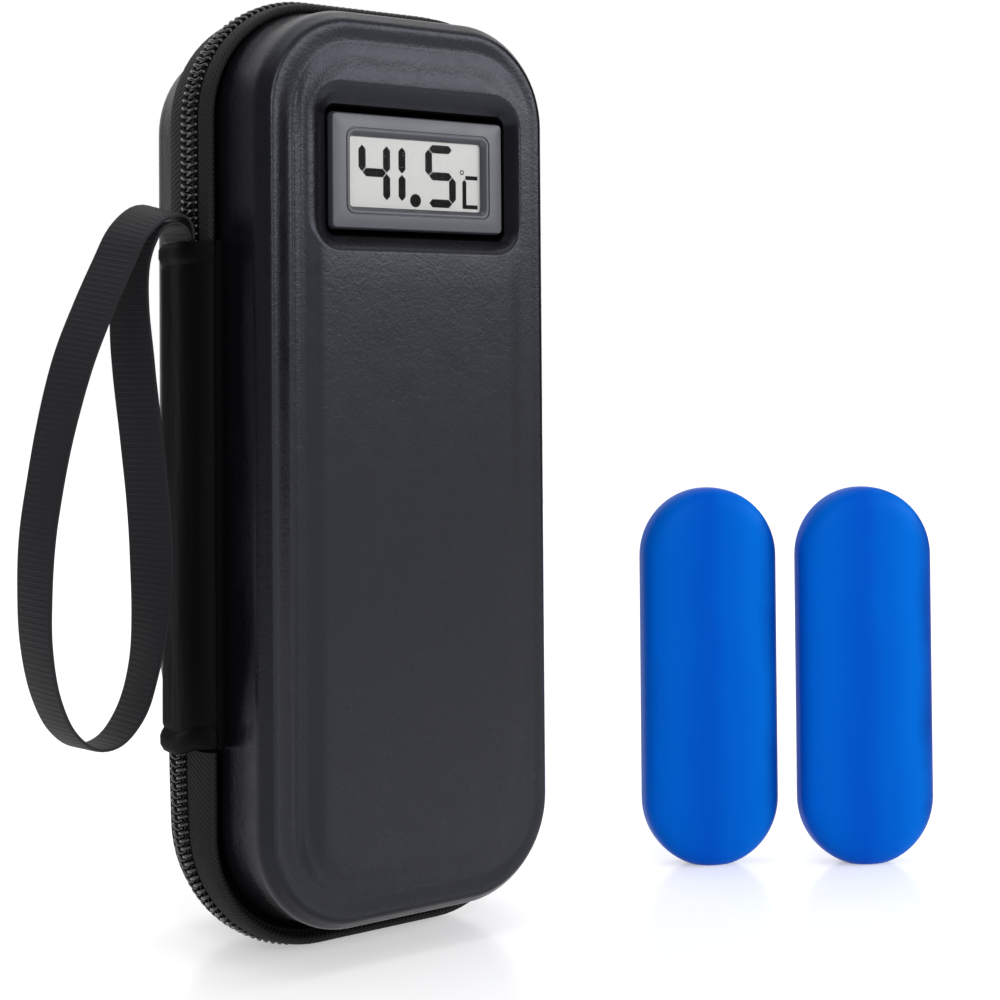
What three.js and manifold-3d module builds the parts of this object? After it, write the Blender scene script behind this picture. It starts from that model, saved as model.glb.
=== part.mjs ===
// Insulin cooling case: a zipped hard-shell case with a thermometer in its lid and two ice packs beside it.
// Millimetres, +Z up, +X to the right, the lid faces -Y and the hinge is on the -X side.
// The origin lies on the flat lower run of the base half's zip tape, which the case stands on.

import * as THREE from 'three';
import { mergeVertices } from 'three/addons/utils/BufferGeometryUtils.js';
import Module from 'manifold-3d';

const wasm = await Module();
wasm.setup();

// Case outline, measured over the zip
const case_width = 89;
const case_height = 210;
const zip_corner = 28.6;
const corner_steps = 8;
const fit_gap = 0.3;
const slab_steps = 3;
const round_steps = 18;
const cut_overrun = 1;

// Zip: coil rails beside the seam, then the woven tape, which wraps round the shell's flange
const slit_half = 0.5;
const coil_width = 2.9;
const coil_drop = 0.3;
const coil_height = 2.1;
const tape_thickness = 1.3;
const tape_flat = 5.7;
const tape_round = 0.8;
const groove_inset = 6.2;

// Moulded shells: wall, flange at the seam, and the depth of each half from the seam
const wall = 3.4;
const flange_start = 4.6;
const flange_thickness = 4;
const base_depth = 27.3;
const lid_depth = 24;
const ridge_inset = 9.2;
const ridge_drop = 0.7;
const valley_inset = 11.3;
const valley_drop = 1.1;
const plateau_inset = 13.4;
const plateau_drop = 0.3;
const face_inset = 16.4;
const shoulder = 6.5;

// Lining: foil-faced foam inside each shell
const lining_thickness = 1.6;

// Fabric spine on the left side
const spine_bottom = 44.4;
const spine_length = 110.7;
const spine_thickness = 1.2;
const spine_lift = 1.4;
const fold_half = 7.5;
const fold_gap = 0.3;
const hem_height = 4.2;
const hem_thickness = 0.7;

// Wrist strap of ribbed webbing
const strap_width = 12;
const strap_thickness = 1.2;
const strap_reach = 32;
const strap_drop = 106;
const strap_steps = 72;
const strap_end_steps = 8;

// Thermometer and its seat in the lid
const display_shift = 3.5;
const display_from_top = 39.5;
const bezel_width = 48;
const bezel_height = 28.6;
const bezel_corner = 1.6;
const bezel_thickness = 1.9;
const bezel_edge = 0.6;
const bezel_taper_x = 1.3;
const bezel_taper_z = 2;
const bezel_drop = 2.6;
const body_width = 42.6;
const body_height = 22;
const body_corner = 1.5;
const body_wall = 1.3;
const skirt_depth = 7.4;
const opening_width = 35.6;
const opening_height = 15.6;
const opening_corner = 1;
const window_thickness = 0.6;
const window_drop = 0.6;
const panel_thickness = 2.2;
const strip_height = 2;
const strip_depth = 2;
const strip_margin = 2.4;
const board_thickness = 1.2;
const sensor_width = 3;
const sensor_depth = 0.9;
const cell_radius = 5.8;
const cell_thickness = 5.4;
const cell_spacing = 13.4;
const contact_width = 8;
const contact_height = 4;
const contact_thickness = 0.4;
const hatch_width = 29;
const hatch_height = 14;
const recess_margin_x = 3.1;
const recess_margin_z = 3.4;
const recess_slope = 2.7;
const recess_corner = 5.1;
const seat_wall = 3;
const seat_margin = 4.5;
const recess_steps = 5;

// Pen board, its elastic bands and the mesh pocket
const pen_board_thickness = 2.5;
const pen_board_margin = 1.6;
const pen_loop_radius = 8;
const pen_loop_leg = 2.4;
const pen_loop_pitch = 19;
const pen_loop_count = 3;
const loop_steps = 8;
const band_thickness = 0.9;
const band_width = 20;
const band_foot = 1.8;
const band_offset = 42;
const pocket_top = 128;
const pocket_bottom = 14.4;
const pocket_thickness = 0.8;
const pocket_seam = 6.2;
const binding_height = 8;
const binding_thickness = 2;

// Zip sliders and their pulls
const slider_length = 9;
const slider_width = 8.8;
const slider_plate = 1.2;
const slider_inner_width = 7.6;
const slider_neck = 0.5;
const slider_neck_length = 3;
const slider_height = 105;
const slider_spacing = 9.6;
const bail_length = 6.4;
const bail_width = 2;
const bail_gap = 1.1;
const bail_bar = 0.7;
const bail_post = 1.1;
const pull_wire = 0.6;
const pull_length = 17;
const pull_width = 7;
const pull_thickness = 0.9;
const pull_lean = 24;

// Ice packs, standing on a small flat at the lower end
const pack_width = 35.4;
const pack_height = 96.6;
const pack_depth = 11;
const pack_wall = 1.4;
const pack_flat = 0.7;
const pack_steps = 5;
const pack_places = [[102.7, -8], [136.2, -29.6]];
const pack_turn = -24;
const filler_radius = 3;
const filler_drop = 14;
const plug_head_radius = 4.4;
const plug_head = 0.9;

// Where the pieces lie
const seam_y = -(slit_half + coil_width + fit_gap + tape_flat / 2);
const half_width = case_width / 2;
const half_height = case_height / 2;
const tape_start = slit_half + coil_width + fit_gap;
const flange_end = flange_start + flange_thickness;
const tape_end = flange_end + fit_gap + tape_thickness;
const flange_inset = tape_thickness + fit_gap;
const spine_top = spine_bottom + spine_length;
const spine_outer = half_width + spine_lift;
const display_height = case_height - display_from_top;
const display_front = lid_depth - bezel_drop;
const seat_front = display_front - bezel_thickness - fit_gap;

const finishes = {
  leather: { color: 0x1c1c1d, roughness: 0.48, metalness: 0 },
  spine_fabric: { color: 0x171718, roughness: 0.42, metalness: 0 },
  zip_fabric: { color: 0x1d1d1e, roughness: 0.8, metalness: 0 },
  zip_coil: { color: 0x141415, roughness: 0.35, metalness: 0 },
  webbing: { color: 0x28282a, roughness: 0.7, metalness: 0 },
  foil: { color: 0xb9bcc0, roughness: 0.32, metalness: 0.7 },
  board_cloth: { color: 0x2c2d30, roughness: 0.85, metalness: 0 },
  elastic: { color: 0x202022, roughness: 0.8, metalness: 0 },
  mesh: { color: 0x26272a, roughness: 0.85, metalness: 0 },
  bezel: { color: 0x3b3e47, roughness: 0.4, metalness: 0 },
  window: { color: 0xe4e8ea, roughness: 0.05, metalness: 0 },
  liquid_crystal: { color: 0xcfcfcd, roughness: 0.35, metalness: 0 },
  rubber: { color: 0x3a3a3c, roughness: 0.7, metalness: 0 },
  circuit: { color: 0x1d5c33, roughness: 0.5, metalness: 0 },
  housing: { color: 0x2e3036, roughness: 0.5, metalness: 0 },
  steel: { color: 0xb8b9bb, roughness: 0.3, metalness: 1 },
  slider_metal: { color: 0x2a2b2d, roughness: 0.35, metalness: 0.8 },
  pack_plastic: { color: 0x0052c6, roughness: 0.35, metalness: 0 },
  gel: { color: 0x8fc3e8, roughness: 0.25, metalness: 0 },
};

const object = new THREE.Group();

function add(name, geometry, finish, parent = object) {
  const mesh = new THREE.Mesh(geometry, new THREE.MeshStandardMaterial(finishes[finish]));
  mesh.name = name;
  parent.add(mesh);
  return mesh;
}

function toSolid(geometry) {
  const bare = geometry.clone();
  bare.deleteAttribute('normal');
  bare.deleteAttribute('uv');
  const merged = mergeVertices(bare);
  return new wasm.Manifold(new wasm.Mesh({
    numProp: 3,
    vertProperties: new Float32Array(merged.attributes.position.array),
    triVerts: new Uint32Array(merged.index.array),
  }));
}

function toGeometry(solid) {
  const mesh = solid.getMesh();
  const points = [];
  for (let i = 0; i < mesh.vertProperties.length; i += mesh.numProp) {
    points.push(...mesh.vertProperties.slice(i, i + 3));
  }
  const geometry = new THREE.BufferGeometry();
  geometry.setAttribute('position', new THREE.Float32BufferAttribute(points, 3));
  geometry.setIndex(Array.from(mesh.triVerts));
  return geometry;
}

function join(geometries) {
  return toGeometry(geometries.map(toSolid).reduce((all, one) => all.add(one)));
}

function cut(geometry, cutters) {
  return toGeometry(cutters.map(toSolid).reduce((rest, one) => rest.subtract(one), toSolid(geometry)));
}

// A triangle list whose faces point out, whichever way its rings were walked
function closedGeometry(points, triangles) {
  const a = new THREE.Vector3();
  let volume = 0;
  for (const [i, j, k] of triangles) {
    volume += a.crossVectors(points[i], points[j]).dot(points[k]);
  }
  const faces = volume > 0 ? triangles : triangles.map(([i, j, k]) => [i, k, j]);
  const geometry = new THREE.BufferGeometry();
  const coordinates = points.flatMap((p) => p.toArray());
  geometry.setAttribute('position', new THREE.Float32BufferAttribute(coordinates, 3));
  geometry.setIndex(faces.flat());
  return geometry;
}

// Rounded outlines as stations: a place on the outline and its outward direction, in the XZ plane
function cornerStations(width, height, corner, centre_z, first_corner, corner_count, steps) {
  const stations = [];
  for (let k = first_corner; k < first_corner + corner_count; k += 1) {
    for (let i = 0; i <= steps; i += 1) {
      const angle = (k + i / steps) * Math.PI / 2;
      const middle = (k + 1 / 2) * Math.PI / 2;
      const nx = Math.cos(angle);
      const nz = Math.sin(angle);
      stations.push({
        x: Math.sign(Math.cos(middle)) * (width / 2 - corner) + corner * nx,
        z: centre_z + Math.sign(Math.sin(middle)) * (height / 2 - corner) + corner * nz,
        nx,
        nz,
      });
    }
  }
  return stations;
}

const outline = cornerStations(case_width, case_height, zip_corner, half_height, 0, 4, corner_steps);

// The zip's run: from the spine's lower end round the bottom, the right side and the top to its upper end
const zip_run = [
  { x: -half_width, z: spine_bottom - fit_gap, nx: -1, nz: 0 },
  ...cornerStations(case_width, case_height, zip_corner, half_height, 2, 4, corner_steps),
  { x: -half_width, z: spine_top + fit_gap, nx: -1, nz: 0 },
];

// A solid between rings. Each section point is [inset from the outline, depth from the seam].
// A section that closes on itself is swept along the stations; an open one is a bowl, capped at both ends.
function ringSolid(section, stations, side, section_closed, stations_closed) {
  const points = [];
  const triangles = [];
  const columns = section.length;
  for (const s of stations) {
    for (const [inset, depth] of section) {
      points.push(new THREE.Vector3(s.x - s.nx * inset, seam_y + side * depth, s.z - s.nz * inset));
    }
  }
  const row_count = stations_closed ? stations.length : stations.length - 1;
  const column_count = section_closed ? columns : columns - 1;
  for (let i = 0; i < row_count; i += 1) {
    for (let j = 0; j < column_count; j += 1) {
      const a = i * columns + j;
      const b = i * columns + (j + 1) % columns;
      const c = ((i + 1) % stations.length) * columns + (j + 1) % columns;
      const d = ((i + 1) % stations.length) * columns + j;
      triangles.push([a, b, c], [a, c, d]);
    }
  }
  if (section_closed && !stations_closed) {
    const flat = section.map(([inset, depth]) => new THREE.Vector2(inset, depth));
    const last = (stations.length - 1) * columns;
    const clockwise = THREE.ShapeUtils.isClockWise(flat);
    for (const [i, j, k] of THREE.ShapeUtils.triangulateShape(flat, [])) {
      const [p, q] = clockwise ? [k, j] : [j, k];
      triangles.push([i, q, p], [last + i, last + p, last + q]);
    }
  }
  if (!section_closed) {
    for (const j of [0, columns - 1]) {
      const centre = points.length;
      points.push(new THREE.Vector3(0, points[j].y, half_height));
      for (let i = 0; i < stations.length; i += 1) {
        const a = i * columns + j;
        const b = ((i + 1) % stations.length) * columns + j;
        triangles.push(j === 0 ? [centre, a, b] : [centre, b, a]);
      }
    }
  }
  return closedGeometry(points, triangles);
}

// A solid through a stack of convex rings with equal counts of points, flat at both ends
function stackedRings(rings) {
  const count = rings[0].length;
  const last = (rings.length - 1) * count;
  const triangles = [];
  for (let r = 0; r + 1 < rings.length; r += 1) {
    for (let i = 0; i < count; i += 1) {
      const a = r * count + i;
      const b = r * count + (i + 1) % count;
      triangles.push([a, b, b + count], [a, b + count, a + count]);
    }
  }
  for (let i = 1; i + 1 < count; i += 1) {
    triangles.push([0, i + 1, i], [last, last + i, last + i + 1]);
  }
  return closedGeometry(rings.flat(), triangles);
}

// A flat piece in the XZ plane with rounded corners, from its front face towards +Y
function slab(width, height, corner, depth, x, front, z) {
  const shape = new THREE.Shape();
  const w = width / 2;
  const h = height / 2;
  shape.moveTo(w, -h + corner);
  shape.lineTo(w, h - corner);
  shape.absarc(w - corner, h - corner, corner, 0, Math.PI / 2, false);
  shape.absarc(-w + corner, h - corner, corner, Math.PI / 2, Math.PI, false);
  shape.absarc(-w + corner, -h + corner, corner, Math.PI, Math.PI * 3 / 2, false);
  shape.absarc(w - corner, -h + corner, corner, Math.PI * 3 / 2, Math.PI * 2, false);
  const geometry = new THREE.ExtrudeGeometry(shape, {
    depth, bevelEnabled: false, curveSegments: slab_steps,
  });
  geometry.rotateX(Math.PI / 2);
  geometry.translate(x, front + depth, z);
  return geometry;
}

function block(x0, x1, y0, y1, z0, z1) {
  const geometry = new THREE.BoxGeometry(x1 - x0, y1 - y0, z1 - z0);
  geometry.translate((x0 + x1) / 2, (y0 + y1) / 2, (z0 + z1) / 2);
  return geometry;
}

// Shell wall: a raised ridge and a shallow valley run round the flat face of each half
function shellProfile(depth) {
  const side_start = flange_end + tape_thickness + fit_gap;
  const inner = groove_inset + wall;
  return [
    [face_inset, depth],
    [plateau_inset, depth - plateau_drop],
    [valley_inset, depth - valley_drop],
    [ridge_inset, depth - ridge_drop],
    [(ridge_inset + groove_inset) / 2, depth - shoulder / 4],
    [groove_inset + ridge_drop, depth - shoulder / 2],
    [groove_inset, depth - shoulder],
    [groove_inset - plateau_drop, (depth - shoulder + side_start) / 2],
    [groove_inset, flange_end],
    [flange_inset, flange_end],
    [flange_inset, flange_start],
    [inner, flange_start],
    [inner, depth - shoulder],
    [inner + ridge_drop, depth - wall - shoulder / 4],
    [inner + wall, depth - wall],
  ];
}

function liningProfile(depth) {
  const outer = groove_inset + wall + fit_gap;
  const back = depth - wall - fit_gap;
  const inner = outer + lining_thickness;
  return [
    [outer + wall, back],
    [outer + ridge_drop, back - shoulder / 4],
    [outer, back - shoulder + wall],
    [outer, flange_start],
    [inner, flange_start],
    [inner, back - shoulder + wall - lining_thickness],
    [inner + ridge_drop, back - lining_thickness - shoulder / 4],
    [inner + wall, back - lining_thickness],
  ];
}

const tape_section = [
  [0, tape_start],
  [0, tape_start + tape_flat],
  [tape_round, tape_end],
  [groove_inset - fit_gap, tape_end],
  [groove_inset - fit_gap, flange_end + fit_gap],
  [tape_thickness, flange_end + fit_gap],
  [tape_thickness, tape_start],
];

const coil_section = [
  [coil_drop, slit_half + coil_drop],
  [coil_drop, slit_half + coil_width - coil_drop],
  [coil_drop + coil_height / 2, slit_half + coil_width],
  [coil_drop + coil_height, slit_half + coil_width - coil_drop],
  [coil_drop + coil_height, slit_half + coil_drop],
  [coil_drop + coil_height / 2, slit_half],
];

const flap_section = [
  [-spine_lift, fold_half + fold_gap / 2],
  [-spine_lift, tape_end - tape_round],
  [-spine_lift + tape_round, tape_end + fit_gap],
  [groove_inset - fit_gap, tape_end + fit_gap],
  [groove_inset - fit_gap, flange_end + fit_gap],
  [tape_thickness, flange_end + fit_gap],
  [tape_thickness, fold_half + fold_gap / 2],
];

const spine_run = [spine_bottom, spine_top].map((z) => ({ x: -half_width, z, nx: -1, nz: 0 }));

// Base half
add('base_shell', ringSolid(shellProfile(base_depth), outline, 1, false, true), 'leather');
add('base_lining', ringSolid(liningProfile(base_depth), outline, 1, false, true), 'foil');
add('base_zip_tape', ringSolid(tape_section, zip_run, 1, true, false), 'zip_fabric');
add('base_zip_coil', ringSolid(coil_section, zip_run, 1, true, false), 'zip_coil');
add('hinge_flap_base', ringSolid(flap_section, spine_run, 1, true, false), 'spine_fabric');

// Pen board: it lies on the lining's floor and carries the elastic bands
const lining_floor = base_depth - wall - fit_gap - lining_thickness;
const floor_inset = groove_inset + wall + fit_gap + lining_thickness + wall + pen_board_margin;
const board_back = lining_floor - fit_gap;
const board_front = board_back - pen_board_thickness;
add('pen_board', slab(
  case_width - 2 * floor_inset, case_height - 2 * floor_inset, zip_corner - floor_inset,
  pen_board_thickness, 0, seam_y + board_front, half_height,
), 'board_cloth');

// Elastic band: a row of loops for pens, with flat feet sewn to the board beside and between them
function bandGeometry(centre_z) {
  const sewn = seam_y + board_front - fit_gap;
  const crown = sewn - band_thickness - pen_loop_leg;
  const reach = pen_loop_pitch * (pen_loop_count - 1) / 2;
  const outer = pen_loop_radius + band_thickness;
  const edge = reach + outer + band_foot;
  const shape = new THREE.Shape();
  shape.moveTo(-edge, sewn);
  for (let k = 0; k < pen_loop_count; k += 1) {
    const x = -reach + k * pen_loop_pitch;
    shape.lineTo(x - pen_loop_radius, sewn);
    shape.lineTo(x - pen_loop_radius, crown);
    shape.absarc(x, crown, pen_loop_radius, Math.PI, Math.PI * 2, false);
    shape.lineTo(x + pen_loop_radius, sewn);
  }
  shape.lineTo(edge, sewn);
  shape.lineTo(edge, sewn - band_thickness);
  for (let k = pen_loop_count - 1; k >= 0; k -= 1) {
    const x = -reach + k * pen_loop_pitch;
    shape.lineTo(x + outer, sewn - band_thickness);
    shape.lineTo(x + outer, crown);
    shape.absarc(x, crown, outer, 0, Math.PI, true);
    shape.lineTo(x - outer, sewn - band_thickness);
  }
  shape.lineTo(-edge, sewn - band_thickness);
  shape.closePath();
  const geometry = new THREE.ExtrudeGeometry(shape, {
    depth: band_width, bevelEnabled: false, curveSegments: loop_steps,
  });
  geometry.translate(0, 0, centre_z - band_width / 2);
  return geometry;
}
add('pen_band_upper', bandGeometry(half_height + band_offset), 'elastic');
add('pen_band_lower', bandGeometry(half_height - band_offset), 'elastic');

// Spine between the two fold lines, with a hem across each end
function spineStrip(lift, thickness, z0, z1) {
  const outer = -(half_width + lift);
  const y = fold_half - fold_gap / 2;
  return block(outer, outer + thickness, seam_y - y, seam_y + y, z0, z1);
}
const hem_lift = spine_lift + fit_gap + hem_thickness;
add('hinge_spine', spineStrip(spine_lift, spine_thickness, spine_bottom, spine_top), 'spine_fabric');
add('hinge_hem_top', spineStrip(
  hem_lift, hem_thickness, spine_top - hem_height, spine_top,
), 'spine_fabric');
add('hinge_hem_bottom', spineStrip(
  hem_lift, hem_thickness, spine_bottom, spine_bottom + hem_height,
), 'spine_fabric');

// Wrist strap: the middle line of the webbing beside the case, as shares of how far the loop
// stands out from the spine and how far it hangs below the spine's top
const loop_shares = [
  [0.128, 0.071], [0.181, 0.07], [0.238, 0.062], [0.363, 0.025], [0.475, -0.042], [0.606, -0.126],
  [0.756, -0.236], [0.875, -0.368], [0.944, -0.481], [0.988, -0.585], [1, -0.689], [0.988, -0.792],
  [0.925, -0.892], [0.813, -0.962], [0.675, -1], [0.513, -0.994], [0.356, -0.943], [0.263, -0.858],
  [0.213, -0.749], [0.203, -0.636], [0.225, -0.528], [0.275, -0.396], [0.331, -0.255], [0.359, -0.132],
  [0.319, -0.038], [0.225, 0.011], [0.175, 0.022], [0.128, 0.0226],
];
const strap_loop = loop_shares.map(([out, up]) => [out * strap_reach, spine_top + up * strap_drop]);

// The two sewn ends of the strap, as shares of the way from the spine's top to the loop
const upper_end_shares = [[0, 0], [0, 0.55], [0.62, 0.985], [1, 1]];
const lower_end_shares = [[0, 0], [0.2, 0.6], [0.6, 0.95], [1, 1]];
function sewnEnd(shares, start_out, [loop_out, loop_z]) {
  const start_z = spine_top + fit_gap;
  const end_out = loop_out - fit_gap;
  return shares.map(([across, up]) => [
    start_out + across * (end_out - start_out),
    start_z + up * (loop_z - start_z),
  ]);
}

// Webbing: a thin closed strip along a curve in a plane square to Y
function webbing(route, steps) {
  const path = route.map(([out, z]) => new THREE.Vector3(-spine_outer - out, z, 0));
  const curve = new THREE.CatmullRomCurve3(path, false, 'centripetal');
  const points = [];
  for (let i = 0; i <= steps; i += 1) {
    const p = curve.getPointAt(i / steps);
    const t = curve.getTangentAt(i / steps);
    for (const [a, b] of [[1, -1], [1, 1], [-1, 1], [-1, -1]]) {
      points.push(new THREE.Vector3(
        p.x - t.y * a * strap_thickness / 2,
        seam_y + b * strap_width / 2,
        p.y + t.x * a * strap_thickness / 2,
      ));
    }
  }
  const triangles = [];
  for (let i = 0; i < steps; i += 1) {
    for (let j = 0; j < 4; j += 1) {
      const a = i * 4 + j;
      const b = i * 4 + (j + 1) % 4;
      triangles.push([a, b, b + 4], [a, b + 4, a + 4]);
    }
  }
  const last = steps * 4;
  triangles.push([0, 2, 1], [0, 3, 2], [last, last + 1, last + 2], [last, last + 2, last + 3]);
  return closedGeometry(points, triangles);
}
add('wrist_strap', webbing(strap_loop, strap_steps), 'webbing');
const upper_route = sewnEnd(upper_end_shares, -spine_thickness / 2, strap_loop[0]);
const lower_route = sewnEnd(lower_end_shares, spine_thickness, strap_loop.at(-1));
add('strap_end_upper', webbing(upper_route, strap_end_steps), 'webbing');
add('strap_end_lower', webbing(lower_route, strap_end_steps), 'webbing');

// Lid half: the face is sunk round the thermometer, with a thicker seat and a cut-out for its body
// The slope's rings as [share of the slope's width, share of the recess's depth]
const recess_shares = [[1, 0], [0.62, 0.2], [0.3, 0.75], [0, 1]];
function recessCutter() {
  const sink = lid_depth - seat_front;
  const rings = [
    [1, lid_depth + cut_overrun],
    ...recess_shares.map(([slope, down]) => [slope, lid_depth - down * sink]),
  ];
  return stackedRings(rings.map(([slope, depth]) => {
    const grow = slope * recess_slope - recess_slope;
    return cornerStations(
      bezel_width + 2 * (recess_margin_x + grow), bezel_height + 2 * (recess_margin_z + grow),
      recess_corner + grow, display_height, 0, 4, recess_steps,
    ).map((s) => new THREE.Vector3(display_shift + s.x, seam_y - depth, s.z));
  }));
}

function atDisplay(width, height, corner, depth_from, depth_to, dx = 0, dz = 0) {
  return slab(
    width, height, corner, depth_from - depth_to,
    display_shift + dx, seam_y - depth_from, display_height + dz,
  );
}

const seat_back = seat_front - seat_wall;
const lid_inner = lid_depth - wall;
const lid_bowl = join([
  ringSolid(shellProfile(lid_depth), outline, -1, false, true),
  atDisplay(
    bezel_width + 2 * seat_margin, bezel_height + 2 * seat_margin, recess_corner + wall,
    lid_inner + wall / 2, seat_back,
  ),
]);
const cutout_width = body_width + 2 * fit_gap;
const cutout_height = body_height + 2 * fit_gap;
add('lid_shell', cut(lid_bowl, [
  recessCutter(),
  atDisplay(cutout_width, cutout_height, body_corner, lid_depth, seat_back - cut_overrun),
]), 'leather');

const seat_clear = seat_margin + fit_gap;
add('lid_lining', cut(ringSolid(liningProfile(lid_depth), outline, -1, false, true), [
  atDisplay(
    bezel_width + 2 * seat_clear, bezel_height + 2 * seat_clear, recess_corner + wall,
    lid_depth, flange_start + cut_overrun,
  ),
]), 'foil');
add('lid_zip_tape', ringSolid(tape_section, zip_run, -1, true, false), 'zip_fabric');
add('lid_zip_coil', ringSolid(coil_section, zip_run, -1, true, false), 'zip_coil');
add('hinge_flap_lid', ringSolid(flap_section, spine_run, -1, true, false), 'spine_fabric');

// Mesh pocket: a flat panel across the lid, below the thermometer, with an elastic binding on its top edge
const pocket_half = half_width - groove_inset - wall - fit_gap - lining_thickness - fit_gap;
const pocket_height = pocket_top - pocket_bottom;
const pocket_front = pocket_seam + pocket_thickness;
const pocket_corner = pocket_half - half_width + zip_corner;
function pocketPanel() {
  const stations = cornerStations(
    2 * pocket_half, 2 * (half_height - pocket_bottom), pocket_corner, half_height, 2, 2, corner_steps,
  );
  const shape = new THREE.Shape(stations.map((s) => new THREE.Vector2(s.x, s.z)));
  shape.lineTo(pocket_half, pocket_top);
  shape.lineTo(-pocket_half, pocket_top);
  shape.closePath();
  const geometry = new THREE.ExtrudeGeometry(shape, { depth: pocket_thickness, bevelEnabled: false });
  geometry.rotateX(Math.PI / 2);
  geometry.translate(0, seam_y - pocket_seam, 0);
  return geometry;
}
add('lid_mesh_pocket', pocketPanel(), 'mesh');
const binding_middle = seam_y - (pocket_seam + pocket_front) / 2;
add('pocket_binding', block(
  -pocket_half, pocket_half,
  binding_middle - binding_thickness / 2, binding_middle + binding_thickness / 2,
  pocket_top + fit_gap, pocket_top + fit_gap + binding_height,
), 'elastic');

// Thermometer, from the front to the back
const skirt_end = display_front - bezel_thickness - skirt_depth;
const window_front = display_front - window_drop;
const panel_front = window_front - window_thickness - fit_gap;
const lens_width = opening_width - 2 * fit_gap;
const lens_height = opening_height - 2 * fit_gap;
const inner_width = body_width - 2 * body_wall;
const inner_height = body_height - 2 * body_wall;

// Bezel flange: an upright edge at the seat, then sides that taper to the front face
function bezelFlange() {
  const flange_back = display_front - bezel_thickness;
  const levels = [[0, flange_back], [0, flange_back + bezel_edge], [1, display_front]];
  return stackedRings(levels.map(([taper, depth]) => cornerStations(
    bezel_width - 2 * taper * bezel_taper_x, bezel_height - 2 * taper * bezel_taper_z,
    bezel_corner, display_height, 0, 4, slab_steps,
  ).map((s) => new THREE.Vector3(display_shift + s.x, seam_y - depth, s.z))));
}
add('display_bezel', cut(join([
  bezelFlange(),
  atDisplay(body_width, body_height, body_corner, display_front - bezel_thickness / 2, skirt_end),
]), [
  atDisplay(
    opening_width, opening_height, opening_corner,
    display_front + cut_overrun, display_front - bezel_thickness - cut_overrun,
  ),
  atDisplay(
    inner_width, inner_height, body_corner / 2,
    display_front - body_wall, skirt_end - cut_overrun,
  ),
]), 'bezel');
add('display_window', atDisplay(
  lens_width, lens_height, opening_corner, window_front, window_front - window_thickness,
), 'window');
const crystal_front = Math.min(panel_front, display_front - body_wall - fit_gap);
add('liquid_crystal_panel', atDisplay(
  inner_width - 2 * fit_gap, inner_height - 2 * fit_gap, body_corner / 4,
  crystal_front, crystal_front - panel_thickness,
), 'liquid_crystal');
const connector_front = crystal_front - panel_thickness - fit_gap;
add('connector_strip', atDisplay(
  lens_width, strip_height, strip_height / 4, connector_front, connector_front - strip_depth,
  0, -inner_height / 2 + strip_margin,
), 'rubber');
const circuit_front = connector_front - strip_depth - fit_gap;
const circuit_back = circuit_front - board_thickness;
add('circuit_board', atDisplay(
  inner_width - 2 * fit_gap, inner_height - 2 * fit_gap, body_corner / 4, circuit_front, circuit_back,
), 'circuit');
const contact_front = circuit_back - fit_gap;
const contact_back = contact_front - contact_thickness;
const battery_front = contact_back - fit_gap;
const battery_back = battery_front - cell_thickness;
add('temperature_sensor', atDisplay(
  sensor_width, sensor_width, sensor_width / 4, contact_front, contact_front - sensor_depth,
  inner_width / 2 - sensor_width, -inner_height / 2 + sensor_width,
), 'rubber');

function cell(side) {
  const geometry = new THREE.CylinderGeometry(cell_radius, cell_radius, cell_thickness, round_steps);
  geometry.translate(
    display_shift + side * cell_spacing / 2, seam_y - (battery_front + battery_back) / 2, display_height,
  );
  return geometry;
}
add('button_cell_left', cell(-1), 'steel');
add('button_cell_right', cell(1), 'steel');
for (const [name, side] of [['left', -1], ['right', 1]]) {
  add(`battery_contact_${name}`, atDisplay(
    contact_width, contact_height, contact_thickness, contact_front, contact_back, side * cell_spacing / 2,
  ), 'steel');
}

const housing_front = skirt_end - fit_gap;
const housing_floor = battery_back - fit_gap;
const housing_back = housing_floor - body_wall;
const cell_pocket = cell_radius + fit_gap;
function cellPocket(side) {
  const depth = 2 * cell_thickness;
  const geometry = new THREE.CylinderGeometry(cell_pocket, cell_pocket, depth, round_steps);
  geometry.translate(
    display_shift + side * cell_spacing / 2, seam_y - battery_back - depth / 2, display_height,
  );
  return geometry;
}
add('rear_housing', cut(
  atDisplay(body_width, body_height, body_corner, housing_front, housing_back),
  [
    atDisplay(
      inner_width, inner_height, body_corner / 2,
      housing_front + cut_overrun, Math.min(housing_front - body_wall, circuit_back - cell_thickness / 2),
    ),
    cellPocket(-1),
    cellPocket(1),
    atDisplay(
      hatch_width, hatch_height, body_corner, housing_floor, housing_back - cut_overrun,
    ),
  ],
), 'housing');
add('battery_cover', atDisplay(
  hatch_width - 2 * fit_gap, hatch_height - 2 * fit_gap, body_corner, housing_floor, housing_back,
), 'housing');

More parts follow.
